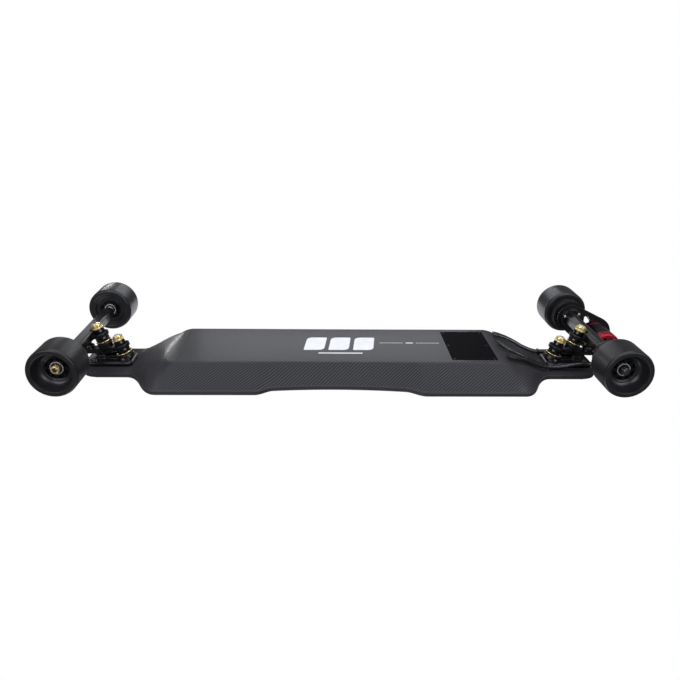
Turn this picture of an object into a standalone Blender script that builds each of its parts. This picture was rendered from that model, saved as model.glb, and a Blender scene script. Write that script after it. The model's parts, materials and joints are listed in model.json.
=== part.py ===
"""Electric longboard: a carbon monocoque deck with its battery and controller inside, two
double-kingpin trucks, four urethane wheels, and a belt drive from two motors to the rear wheels.

+X is the front, +Z is up, and the wheels stand on z = 0. Lengths are in metres."""

import math

import bmesh
import bpy
from mathutils import Vector

# ---------------------------------------------------------------- driving dimensions
BOX_SHIFT = 0.0220           # the wheelbase's middle lies this far ahead of the origin
WHEELBASE = 0.9187
WHEEL_RADIUS = 0.0415
WHEEL_WIDTH = 0.0582
OVERALL_WIDTH = 0.3498

DECK_TOP = 0.1050            # upper face of the carbon deck
RIM_THICKNESS = 0.0070
PANEL_Z = 0.0640             # flat bottom of the battery tub
PANEL_HALF = 0.0774
WALL = 0.0030
DECK_END = 0.4660            # tip of each neck, measured from the wheelbase's middle
TIP_RADIUS = 0.0280
WAIST_HALF = 0.1036
GRIP_THICKNESS = 0.0010
LID_THICKNESS = 0.0027
LID_END = 0.2960

GAP = 0.0003                 # clearance between neighbouring pieces
AXLE_RADIUS = 0.0040
KINGPIN_RADIUS = 0.0048
KINGPIN_TILT = math.radians(18)
BEARING_RADIUS = 0.0110
MOTOR_RADIUS = 0.0252
WHEEL_TEETH_RADIUS = 0.0281  # 36 teeth
MOTOR_TEETH_RADIUS = 0.0113  # 15 teeth
BELT_THICKNESS = 0.0018

# ---------------------------------------------------------------- derived places
AXLE_Z = WHEEL_RADIUS
AXLE_X = WHEELBASE / 2
WHEEL_MID = (OVERALL_WIDTH - WHEEL_WIDTH) / 2
RIM_LOW = DECK_TOP - RIM_THICKNESS
GRIP_LOW = DECK_TOP + GAP
GRIP_TOP = GRIP_LOW + GRIP_THICKNESS
INNER_SEAT = (0.4000, 0.0825)        # (x, z) of the kingpin seats, from the wheelbase's middle
OUTER_SEAT = (0.4348, 0.0600)
YOKE_BALL = (0.4400, 0.0860)         # pivot of the yoke in the baseplate
HANGER_BALL = (0.4640, 0.0705)       # pivot of the hanger in the yoke
RING_MIDDLE = 0.0155                 # down the kingpin from its seat
MOTOR_AXIS = (-0.5110, 0.0755)
ESC_CENTRE = (-0.2360, -0.0015)
ESC_HALF = (0.0410, 0.0665)
BUTTON_PLACE = (-0.3120, 0.0320)
PORT_PLACE = (-0.3120, -0.0320)
BUTTON_RADIUS = 0.0077
PORT_RADIUS = 0.0090
CAP_HINGE_REACH = 0.0125             # from the charging port's centre to its cap's hinge


# ---------------------------------------------------------------- materials
def material(name, colour, roughness, metallic=0.0):
    made = bpy.data.materials.new(name)
    made.use_nodes = True
    shader = made.node_tree.nodes["Principled BSDF"]
    shader.inputs["Base Color"].default_value = (*colour, 1.0)
    shader.inputs["Roughness"].default_value = roughness
    shader.inputs["Metallic"].default_value = metallic
    return made


# ---------------------------------------------------------------- mesh helpers
def finish(bm, name, mat, parent, location=(0, 0, 0), rotation=(0, 0, 0)):
    """Turns a bmesh into an object. location is in the board's frame, whatever the parent is."""
    bmesh.ops.recalc_face_normals(bm, faces=bm.faces)
    mesh = bpy.data.meshes.new(name)
    bm.to_mesh(mesh)
    bm.free()
    mesh.shade_smooth()
    mesh.set_sharp_from_angle(angle=math.radians(35))
    obj = bpy.data.objects.new(name, mesh)
    bpy.context.scene.collection.objects.link(obj)
    obj.data.materials.append(mat)
    obj.parent = parent
    obj.location = Vector(location) - SPOTS.get(parent.name, Vector())
    obj.rotation_euler = rotation
    return obj


def helper(bm, parent, location=(0, 0, 0), rotation=(0, 0, 0)):
    """A shape that only cuts or joins others."""
    obj = finish(bm, "helper", MATERIALS["steel"], parent, location, rotation)
    obj.hide_render = True
    obj.display_type = "WIRE"
    return obj


def combine(obj, other, operation):
    modifier = obj.modifiers.new(operation.lower(), "BOOLEAN")
    modifier.operation = operation
    modifier.object = other


def turned(profile, segments):
    """A profile of (radius, height) points turned about Z. Radius 0 closes it on the axis, and a
    point with a third value of 6 is a hexagon with that radius across its flats."""
    bm = bmesh.new()
    rings = []
    for radius, height, *sides in profile:
        if radius == 0:
            rings.append([bm.verts.new((0, 0, height))])
            continue
        ring = []
        for i in range(segments):
            angle = math.tau * (i + 0.5) / segments
            reach = radius
            if sides:
                flat = math.tau / sides[0]
                reach = radius / math.cos((angle + flat / 2) % flat - flat / 2)
            ring.append(bm.verts.new((reach * math.cos(angle), reach * math.sin(angle), height)))
        rings.append(ring)
    on_axis = profile[0][0] == 0
    pairs = list(zip(rings, rings[1:])) if on_axis else list(zip(rings, rings[1:] + rings[:1]))
    for low, high in pairs:
        for i in range(segments):
            j = (i + 1) % segments
            corners = [low[i % len(low)], low[j % len(low)], high[j % len(high)], high[i % len(high)]]
            bm.faces.new(list(dict.fromkeys(corners)))
    return bm


def prism(outline, low, high):
    """A flat outline of (x, y) points between two heights."""
    bm = bmesh.new()
    face = bm.faces.new([bm.verts.new((x, y, low)) for x, y in outline])
    risen = bmesh.ops.extrude_face_region(bm, geom=[face])
    verts = [v for v in risen["geom"] if isinstance(v, bmesh.types.BMVert)]
    bmesh.ops.translate(bm, verts=verts, vec=(0, 0, high - low))
    return bm


def slab(side_view, half_width):
    """A side view of (x, z) points, as thick as twice half_width along Y."""
    bm = bmesh.new()
    face = bm.faces.new([bm.verts.new((x, -half_width, z)) for x, z in side_view])
    risen = bmesh.ops.extrude_face_region(bm, geom=[face])
    verts = [v for v in risen["geom"] if isinstance(v, bmesh.types.BMVert)]
    bmesh.ops.translate(bm, verts=verts, vec=(0, 2 * half_width, 0))
    return bm


def loft(sections):
    """Closed sections of (x, y, z) points, each joined to the next, with a cap at both ends."""
    bm = bmesh.new()
    rings = [[bm.verts.new(point) for point in section] for section in sections]
    for near, far in zip(rings, rings[1:]):
        for i in range(len(near)):
            j = (i + 1) % len(near)
            bm.faces.new((near[i], near[j], far[j], far[i]))
    bm.faces.new(rings[0])
    bm.faces.new(rings[-1])
    return bm


def rounded_box(low, high, bevel):
    bm = bmesh.new()
    bmesh.ops.create_cube(bm, size=1)
    size = Vector(high) - Vector(low)
    bmesh.ops.scale(bm, vec=size, verts=bm.verts)
    bmesh.ops.translate(bm, vec=(Vector(high) + Vector(low)) / 2, verts=bm.verts)
    bmesh.ops.bevel(bm, geom=bm.edges[:], offset=bevel, segments=1, affect="EDGES")
    return bm


def rounded_rectangle(centre, half, radius, steps=3):
    points = []
    for quarter, (sx, sy) in enumerate(((1, 1), (-1, 1), (-1, -1), (1, -1))):
        for i in range(steps + 1):
            angle = math.pi / 2 * (quarter + i / steps)
            x = centre[0] + sx * (half[0] - radius) + radius * math.cos(angle)
            y = centre[1] + sy * (half[1] - radius) + radius * math.sin(angle)
            points.append((x, y))
    return points


def empty(name, place, parent=None):
    """An empty on a joint's axis, whose children are placed in the board's frame."""
    obj = bpy.data.objects.new(name, None)
    bpy.context.scene.collection.objects.link(obj)
    obj.empty_display_size = 0.02
    if parent:
        obj.parent = parent
        obj.location = Vector(place) - SPOTS[parent.name]
        SPOTS[name] = Vector(place)
    else:
        obj.location = place
        SPOTS[name] = Vector()
    return obj


# ---------------------------------------------------------------- deck
def ease(value, start, end):
    t = min(max((value - start) / (end - start), 0), 1)
    return t * t * (3 - 2 * t)


def blended(a, b, share):
    return a + (b - a) * share


def rounded_end(half, x, end, radius):
    """Narrows a half width to a round corner where |x| comes within radius of end."""
    past = min(max(abs(x) - (end - radius), 0), radius)
    return half - radius + math.sqrt(radius * radius - past * past)


def soft_least(a, b, reach):
    """The smaller of two values, with the corner between them rounded over the reach."""
    share = min(max(0.5 + 0.5 * (b - a) / reach, 0), 1)
    return blended(b, a, share) - reach * share * (1 - share)


def deck_half(x):
    """Half the deck's width at x: a waist, a wide platform at each end of it, and a neck."""
    ahead = x >= 0
    along = abs(x)
    waist = WAIST_HALF + 0.5 * (x - 0.017) ** 2
    platform, step = (0.1242, (0.120, 0.150)) if ahead else (0.1283, (0.110, 0.145))
    wide = blended(waist, platform, ease(along, *step))
    neck, neck_reach = (0.0570, 0.034) if ahead else (0.0605, 0.044)
    shoulder, at, slope = (0.1050, 0.3438, 2.04) if ahead else (0.0930, 0.3455, 2.30)
    half = soft_least(wide, shoulder - slope * (along - at), 0.034)
    return rounded_end(-soft_least(-neck, -half, neck_reach), x, DECK_END, TIP_RADIUS)


def slope_share(x):
    """0 on the flat bottom panel, 1 on the neck, and an S curve between them."""
    panel_end, neck_start = (0.2880, 0.3815) if x >= 0 else (0.2830, 0.3770)
    t = min(max((abs(x) - panel_end) / (neck_start - panel_end), 0), 1)
    return 0.4 * t + 0.6 * ease(t ** 1.4, 0, 1)


def bottom_z(x):
    return blended(PANEL_Z, RIM_LOW, slope_share(x))


def bottom_half(x):
    return min(blended(PANEL_HALF, 0.0550, slope_share(x)), deck_half(x) - 0.0080)


def spread(start, end, count):
    return [blended(start, end, i / count) for i in range(count + 1)]


def stations(end, radius):
    """Places along one half of a deck outline, close together where the outline bends."""
    places = [0.0, 0.060] + spread(0.110, 0.150, 4) + [0.220]
    if end > 0.38:
        places += [0.286, 0.300, 0.312] + spread(0.320, 0.376, 8) + [0.3815, 0.420]
    places += [end - radius + radius * math.sin(math.radians(a)) for a in (0, 30, 60, 90)]
    return [-x for x in reversed(places[1:])] + places


def deck_outline(end, radius, margin):
    """(x, y) points round the deck, or round a smaller shape inside its edge."""
    near = []
    for x in stations(end, radius):
        half = deck_half(x)
        if end < DECK_END - 0.05:
            half = rounded_end(half, x, end, radius)
        near.append((x, -(half - margin)))
    return near + [(x, -y) for x, y in reversed(near)]


def deck_section(x):
    half = deck_half(x)
    right = [
        (half - 0.0015, DECK_TOP),
        (half, DECK_TOP - 0.0015),
        (half, RIM_LOW + 0.0020),
        (half - 0.0025, RIM_LOW),
        (bottom_half(x), bottom_z(x)),
    ]
    return [(x, y, z) for y, z in right] + [(x, -y, z) for y, z in reversed(right)]


def cavity_section(x):
    """The hollow in the deck. It opens upwards under the lid and is roofed past the lid's ends."""
    under_lid = abs(x) < LID_END - 0.0095
    half = deck_half(x)
    opening = half - 0.0200
    right = [
        (opening, DECK_TOP + 0.0100 if under_lid else DECK_TOP - 0.0036),
        (opening, DECK_TOP - 0.0045),
        (half - 0.0085, RIM_LOW - 0.0005),
        (bottom_half(x) - 0.0025, bottom_z(x) + WALL),
    ]
    return [(x, y, z) for y, z in right] + [(x, -y, z) for y, z in reversed(right)]


def build_deck(board):
    body = finish(loft([deck_section(x) for x in stations(DECK_END, TIP_RADIUS)]),
                  "deck_body", MATERIALS["carbon"], board)
    inside = [-0.331, -0.300, -LID_END + 0.009, -LID_END + 0.010]
    inside += [x for x in stations(DECK_END, TIP_RADIUS) if abs(x) < 0.28]
    inside += [LID_END - 0.010, LID_END - 0.009, 0.310, 0.331]
    combine(body, helper(loft([cavity_section(x) for x in inside]), board), "DIFFERENCE")
    recess_floor = DECK_TOP - LID_THICKNESS - GAP
    recess = prism(deck_outline(LID_END, TIP_RADIUS, 0.0140), recess_floor, DECK_TOP + 0.005)
    combine(body, helper(recess, board), "DIFFERENCE")

    window = [size - 0.0080 for size in ESC_HALF]
    for half, top in ((ESC_HALF, PANEL_Z + 0.0015), (window, PANEL_Z + 0.0060)):
        cut = prism(rounded_rectangle(ESC_CENTRE, half, 0.003, 1), PANEL_Z - 0.0050, top)
        combine(body, helper(cut, board), "DIFFERENCE")
    housing = turned([(0, 0.0925), (0.0110, 0.0925), (0.0110, 0.1020), (0, 0.1020)], 16)
    combine(body, helper(housing, board, (*BUTTON_PLACE, 0)), "UNION")
    for place, radius, low in ((BUTTON_PLACE, BUTTON_RADIUS, 0.0945), (PORT_PLACE, PORT_RADIUS, 0.098)):
        reach = radius + GAP
        hole = turned([(0, low), (reach, low), (reach, 0.110), (0, 0.110)], 16)
        combine(body, helper(hole, board, (*place, 0)), "DIFFERENCE")

    lid_outline = deck_outline(LID_END - GAP, TIP_RADIUS, 0.0140 + GAP)
    finish(prism(lid_outline, DECK_TOP - LID_THICKNESS, DECK_TOP), "deck_lid",
           MATERIALS["carbon"], board)

    grip = finish(prism(deck_outline(DECK_END - 0.0025, TIP_RADIUS, 0.0028), GRIP_LOW, GRIP_TOP),
                  "grip_tape", MATERIALS["grip"], board)
    for place, reach in ((BUTTON_PLACE, BUTTON_RADIUS + 0.0010), (PORT_PLACE, 0.0118)):
        hole = turned([(0, 0.100), (reach, 0.100), (reach, 0.112), (0, 0.112)], 16)
        combine(grip, helper(hole, board, (*place, 0)), "DIFFERENCE")


def build_electronics(board):
    """The battery lies flat in the tub, and the controller sits on its cooling plate."""
    plate = [size - GAP for size in ESC_HALF]
    block = [size - 0.0083 for size in ESC_HALF]
    sections = []
    for half, z in ((plate, 0.0640), (plate, 0.0652), (block, 0.0652), (block, 0.0685)):
        outline = rounded_rectangle(ESC_CENTRE, half, 0.003, 1)
        sections.append([(x, y, z) for x, y in outline])
    finish(loft(sections), "esc_heat_sink", MATERIALS["black_metal"], board)
    x, y = ESC_CENTRE
    finish(rounded_box((x - 0.037, y - 0.052, 0.0688), (x + 0.037, y + 0.052, 0.0920), 0.002),
           "motor_controller", MATERIALS["black_plastic"], board)
    finish(rounded_box((-0.165, -0.0670, PANEL_Z + WALL + GAP), (0.285, 0.0670, 0.0900), 0.004),
           "battery_pack", MATERIALS["blue_wrap"], board)


def build_controls(board):
    face = GRIP_TOP + 0.0005
    profile = [(0, 0.0965), (BUTTON_RADIUS, 0.0965), (BUTTON_RADIUS, face), (0, face)]
    finish(turned(profile, 16), "power_button", MATERIALS["black_plastic"], board,
           (*BUTTON_PLACE, 0))
    profile = [(0, 0.0870), (PORT_RADIUS, 0.0870), (PORT_RADIUS, GRIP_LOW), (0.0112, GRIP_LOW),
               (0.0112, face), (0.0055, face), (0.0055, 0.0950), (0, 0.0950)]
    finish(turned(profile, 16), "charge_port", MATERIALS["steel"], board, (*PORT_PLACE, 0))
    hinge = empty("charge_cap_hinge", (PORT_PLACE[0] - CAP_HINGE_REACH, PORT_PLACE[1], 0.1078), board)
    profile = [(0, 0.1040), (0.0048, 0.1040), (0.0048, face + GAP), (0.0108, face + GAP),
               (0.0108, face + 0.0020), (0.0098, face + 0.0026), (0, face + 0.0026)]
    finish(turned(profile, 16), "charge_cap", MATERIALS["rubber"], hinge, (*PORT_PLACE, 0))


# ---------------------------------------------------------------- trucks
def from_seat(seat, outwards, down):
    """(x, z) of a point beside a kingpin: outwards across it, and down along it from its seat."""
    sine, cosine = math.sin(KINGPIN_TILT), math.cos(KINGPIN_TILT)
    return (seat[0] + outwards * cosine + down * sine, seat[1] + outwards * sine - down * cosine)


def seat_place(seat, end):
    return (end * seat[0], 0, seat[1])


def down_kingpin(end):
    """Turns local +Z to point down along a kingpin, away from the deck."""
    return (0, end * (math.pi - KINGPIN_TILT), 0)


def along_line(end, start, stop):
    """Turns local +Z to point from one (x, z) place to another."""
    return (0, math.atan2(end * (stop[0] - start[0]), stop[1] - start[1]), 0)


def kingpin_stack(name, which, end, seat, base, parent, head):
    """The pin itself, its cup washer, both bushings, and the nut with its small washer."""
    place, turn = seat_place(seat, end), down_kingpin(end)
    bore = KINGPIN_RADIUS + GAP
    pin = [(0, -0.0125), (0.0083, -0.0125, 6), (0.0083, -0.0085, 6)] if head else [(0, -0.0070)]
    start = -0.0085 if head else -0.0070
    pin += [(KINGPIN_RADIUS, start), (KINGPIN_RADIUS, 0.0378), (0.0040, 0.0385), (0, 0.0385)]
    finish(turned(pin, 12), f"{name}_{which}_kingpin", MATERIALS["steel"], base, place, turn)
    washer = [(bore, 0), (base_washer_radius(which), 0), (base_washer_radius(which), 0.0020),
              (bore, 0.0020)]
    finish(turned(washer, 20), f"{name}_{which}_cup_washer", MATERIALS["gold"], base, place, turn)
    bushings = [(bore, 0.0023), (0.0122, 0.0023), (0.0130, 0.0070), (0.0118, 0.0117),
                (0.0066, 0.0117), (0.0066, 0.0193), (0.0105, 0.0193), (0.0094, 0.0275),
                (bore, 0.0275)]
    finish(turned(bushings, 16), f"{name}_{which}_bushings", MATERIALS["rubber"], parent, place, turn)
    nut = [(bore, 0.0278), (0.0099, 0.0278), (0.0099, 0.0293), (0.0082, 0.0293, 6),
           (0.0082, 0.0365, 6), (bore, 0.0365)]
    finish(turned(nut, 12), f"{name}_{which}_kingpin_nut", MATERIALS["gold"], base, place, turn)


def base_washer_radius(which):
    return 0.0150 if which == "inner" else 0.0140


def bushing_disc(outer):
    """The flat disc that becomes the ring between a kingpin's bushings once its hole is cut."""
    low, high = RING_MIDDLE - 0.0034, RING_MIDDLE + 0.0034
    return turned([(0, low), (outer, low), (outer, high), (0, high)], 20)


def bushing_hole():
    return turned([(0, 0.0100), (0.0070, 0.0100), (0.0070, 0.0210), (0, 0.0210)], 16)


def pivot_nose(length, stem):
    """A round-ended pin whose ball is centred on the local origin and whose stem runs down -Z."""
    ball = 0.0068
    join = math.sqrt(ball * ball - stem * stem)
    profile = [(0, -length), (stem, -length), (stem, -join)]
    profile += [(ball * math.cos(math.radians(a)), ball * math.sin(math.radians(a)))
                for a in (-20, 15, 50)]
    return turned(profile + [(0, ball)], 12)


def socket_cutter(depth, mouth):
    """The round seat of a pivot, with its mouth opening along -Z."""
    seat = 0.0074
    profile = [(0, -depth), (mouth, -depth), (seat, 0)]
    profile += [(seat * math.cos(math.radians(a)), seat * math.sin(math.radians(a)))
                for a in (30, 60)]
    return turned(profile + [(0, seat)], 12)


def build_baseplate(name, end, board):
    low, high = 0.0900, RIM_LOW - GAP
    plate = finish(prism(rounded_rectangle((end * 0.4250, 0), (0.0430, 0.0270), 0.0100), low, high),
                   f"{name}_baseplate", MATERIALS["black_metal"], board)
    inner = seat_place(INNER_SEAT, end)
    turn = down_kingpin(end)
    boss = turned([(0, -0.0090), (0.0165, -0.0090), (0.0150, -GAP), (0, -GAP)], 20)
    combine(plate, helper(boss, board, inner, turn), "UNION")
    cup = turned([(0, 0.0825), (0.0110, 0.0825), (0.0115, 0.0910), (0, 0.0910)], 20)
    combine(plate, helper(cup, board, (end * 0.4410, 0, 0)), "UNION")
    ring = from_seat(INNER_SEAT, 0, RING_MIDDLE)
    aim = along_line(end, ring, YOKE_BALL)
    combine(plate, helper(socket_cutter(0.0200, 0.0105), board, seat_place(YOKE_BALL, end), aim),
            "DIFFERENCE")
    bore = KINGPIN_RADIUS + GAP
    pocket = turned([(0, -0.0240), (0.0101, -0.0240), (0.0101, -0.0082), (bore, -0.0082),
                     (bore, 0.0010), (0, 0.0010)], 16)
    combine(plate, helper(pocket, board, inner, turn), "DIFFERENCE")


def build_yoke(name, end, pivot):
    """The link between the two kingpins: a ring on the inner one and the outer one's seat."""
    turn = down_kingpin(end)
    spine_view = [from_seat(INNER_SEAT, 0.0095, 0.0128), (0.4240, 0.0790), (0.4700, 0.0805),
                  (0.4735, 0.0760), (0.4700, 0.0715), (0.4400, 0.0715), (0.4300, 0.0640),
                  from_seat(INNER_SEAT, 0.0095, 0.0182)]
    yoke = finish(slab([(end * x, z) for x, z in spine_view], 0.0100),
                  f"{name}_yoke", MATERIALS["black_metal"], pivot)
    ring = helper(bushing_disc(0.0155), pivot, seat_place(INNER_SEAT, end), turn)
    combine(yoke, ring, "UNION")
    boss = turned([(0, -0.0135), (0.0125, -0.0135), (0.0125, -GAP), (0, -GAP)], 20)
    combine(yoke, helper(boss, pivot, seat_place(OUTER_SEAT, end), turn), "UNION")
    holder = turned([(0, 0.0665), (0.0105, 0.0665), (0.0105, 0.0800), (0, 0.0800)], 20)
    combine(yoke, helper(holder, pivot, (end * HANGER_BALL[0], 0, 0)), "UNION")
    centre = from_seat(INNER_SEAT, 0, RING_MIDDLE)
    aim = along_line(end, centre, YOKE_BALL)
    combine(yoke, helper(pivot_nose(0.0170, 0.0050), pivot, seat_place(YOKE_BALL, end), aim), "UNION")
    combine(yoke, helper(bushing_hole(), pivot, seat_place(INNER_SEAT, end), turn), "DIFFERENCE")
    nose_foot = (0.4615, 0.0480)
    mouth = along_line(end, nose_foot, HANGER_BALL)
    combine(yoke, helper(socket_cutter(0.0120, 0.0090), pivot, seat_place(HANGER_BALL, end), mouth),
            "DIFFERENCE")
    bore = KINGPIN_RADIUS + GAP
    hole = turned([(0, -0.0073), (bore, -0.0073), (bore, 0.0020), (0, 0.0020)], 12)
    combine(yoke, helper(hole, pivot, seat_place(OUTER_SEAT, end), turn), "DIFFERENCE")


def build_hanger(name, end, pivot, bar_end, stub_radius, stub_end):
    """The bar between the wheels, with the ring on the outer kingpin and the pivot's nose."""
    bar = [(0.4470, 0.0345), (0.4500, 0.0325), (0.4660, 0.0325), (0.4685, 0.0350),
           (0.4685, 0.0480), (0.4660, 0.0505), (0.4500, 0.0505), (0.4470, 0.0480)]
    hanger = finish(slab([(end * x, z) for x, z in bar], bar_end), f"{name}_hanger",
                    MATERIALS["black_metal"], pivot)
    outer, turn = seat_place(OUTER_SEAT, end), down_kingpin(end)
    combine(hanger, helper(bushing_disc(0.0148), pivot, outer, turn), "UNION")
    stub = turned([(0, -stub_end), (stub_radius, -stub_end), (stub_radius, stub_end),
                   (0, stub_end)], 20)
    axle = (end * AXLE_X, 0, AXLE_Z)
    along_y = (-math.pi / 2, 0, 0)
    combine(hanger, helper(stub, pivot, axle, along_y), "UNION")
    nose_foot = (0.4615, 0.0480)
    aim = along_line(end, nose_foot, HANGER_BALL)
    combine(hanger, helper(pivot_nose(0.0240, 0.0052), pivot, seat_place(HANGER_BALL, end), aim),
            "UNION")
    combine(hanger, helper(bushing_hole(), pivot, outer, turn), "DIFFERENCE")
    notch = [from_seat(OUTER_SEAT, -0.0200, 0.0190), from_seat(OUTER_SEAT, 0.0130, 0.0190),
             (0.4537, 0.0440), (0.4537, 0.0200), (0.4200, 0.0200)]
    room = helper(slab([(end * x, z) for x, z in notch], 0.0160), pivot)
    combine(hanger, room, "DIFFERENCE")
    bore = AXLE_RADIUS + GAP
    drill = turned([(0, -0.15), (bore, -0.15), (bore, 0.15), (0, 0.15)], 12)
    combine(hanger, helper(drill, pivot, axle, along_y), "DIFFERENCE")

    nut_in, nut_out = WHEEL_MID + 0.0078, WHEEL_MID + 0.0144
    half = [(AXLE_RADIUS, nut_in), (0.0065, nut_in, 6), (0.0065, nut_out, 6),
            (AXLE_RADIUS, nut_out), (AXLE_RADIUS, nut_out + 0.0014), (0, nut_out + 0.0014)]
    rod = [(point[0], -point[1], *point[2:]) for point in reversed(half)] + half
    finish(turned(rod, 12), f"{name}_axle", MATERIALS["steel"], pivot, axle, along_y)


def build_truck(name, end, board):
    ring = from_seat(INNER_SEAT, 0, RING_MIDDLE)
    yoke_pivot = empty(f"{name}_yoke_pivot", (end * ring[0], 0, ring[1]), board)
    ring = from_seat(OUTER_SEAT, 0, RING_MIDDLE)
    hanger_pivot = empty(f"{name}_hanger_pivot", (end * ring[0], 0, ring[1]), yoke_pivot)
    build_baseplate(name, end, board)
    kingpin_stack(name, "inner", end, INNER_SEAT, board, board, True)
    build_yoke(name, end, yoke_pivot)
    kingpin_stack(name, "outer", end, OUTER_SEAT, yoke_pivot, yoke_pivot, False)
    if end > 0:
        build_hanger(name, end, hanger_pivot, 0.1040, 0.0080, 0.1120)
    else:
        build_hanger(name, end, hanger_pivot, 0.0780, 0.0120, 0.0945)
    return hanger_pivot


# ---------------------------------------------------------------- wheels and drive
def outwards(side):
    """Turns local +Z to point out from the board, along +Y or -Y."""
    return (-side * math.pi / 2, 0, 0)


def build_wheel(name, end, side, hanger_pivot):
    """Heights in the profiles run outwards from the wheel's middle."""
    place = (end * AXLE_X, side * WHEEL_MID, AXLE_Z)
    axis = empty(f"{name}_wheel_axis", place, hanger_pivot)
    turn = outwards(side)
    half = WHEEL_WIDTH / 2
    core_radius = 0.0200
    hollow = core_radius + GAP
    tread = WHEEL_RADIUS / math.cos(math.pi / 24)
    tyre = [(hollow, -0.0243), (hollow, 0.0067), (0.0265, 0.0167), (0.0335, half - 0.0011),
            (0.0365, half), (0.0400, half - 0.0020), (tread, half - 0.0065),
            (tread, -half + 0.0065), (0.0400, -half + 0.0020), (0.0365, -half),
            (0.0272, -half), (0.0252, -0.0243)]
    finish(turned(tyre, 24), f"{name}_tyre", MATERIALS["urethane"], axis, place, turn)
    seat = BEARING_RADIUS + GAP
    core = [(seat, -0.0253), (seat, -0.0174), (0.0080, -0.0174), (0.0080, -0.0002),
            (seat, -0.0002), (seat, 0.0075), (core_radius, 0.0075), (core_radius, -0.0253)]
    finish(turned(core, 16), f"{name}_wheel_core", MATERIALS["black_plastic"], axis, place, turn)
    bore = AXLE_RADIUS + GAP
    bearings = [(bore, -0.0250), (bore, 0.0072), (BEARING_RADIUS, 0.0072), (BEARING_RADIUS, 0.0001),
                (0.0060, 0.0001), (0.0060, -0.0177), (BEARING_RADIUS, -0.0177),
                (BEARING_RADIUS, -0.0250)]
    finish(turned(bearings, 12), f"{name}_bearings", MATERIALS["steel"], axis, place, turn)
    return axis


def belt_outline(side_x, steps=9):
    """(x, z) points round both pulleys, side_x outside the tips of their teeth."""
    wheel, motor = Vector((-AXLE_X, AXLE_Z)), Vector(MOTOR_AXIS)
    line = motor - wheel
    heading = math.atan2(line.y, line.x)
    tilt = math.acos((WHEEL_TEETH_RADIUS - MOTOR_TEETH_RADIUS) / line.length)
    points = []
    for centre, radius, start, end in (
        (motor, MOTOR_TEETH_RADIUS, heading - tilt, heading + tilt),
        (wheel, WHEEL_TEETH_RADIUS, heading + tilt, heading + math.tau - tilt),
    ):
        for angle in spread(start, end, steps if centre == motor else 2 * steps):
            reach = radius + side_x
            points.append((centre.x + reach * math.cos(angle), centre.y + reach * math.sin(angle)))
    return points


def build_belt(name, side, pivot):
    inner, outer = belt_outline(0.0004), belt_outline(0.0004 + BELT_THICKNESS)
    low, high = side * 0.0988, side * 0.1132
    bm = bmesh.new()
    rings = []
    for points, y in ((inner, low), (outer, low), (outer, high), (inner, high)):
        rings.append([bm.verts.new((x, y, z)) for x, z in points])
    for near, far in zip(rings, rings[1:] + rings[:1]):
        for i in range(len(near)):
            j = (i + 1) % len(near)
            bm.faces.new((near[i], near[j], far[j], far[i]))
    finish(bm, f"{name}_belt", MATERIALS["rubber"], pivot)


def mount_outline():
    """(x, z) points round the motor's mounting plate: a round end at the axle and at the motor."""
    axle, motor = Vector((-AXLE_X, AXLE_Z)), Vector(MOTOR_AXIS)
    axle_end, motor_end = 0.0260, 0.0340
    line = motor - axle
    heading = math.atan2(line.y, line.x)
    tilt = math.acos((axle_end - motor_end) / line.length)
    points = []
    for centre, radius, start, end in ((motor, motor_end, heading - tilt, heading + tilt),
                                       (axle, axle_end, heading + tilt, heading + math.tau - tilt)):
        for angle in spread(start, end, 10):
            points.append((centre.x + radius * math.cos(angle), centre.y + radius * math.sin(angle)))
    return points


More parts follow.
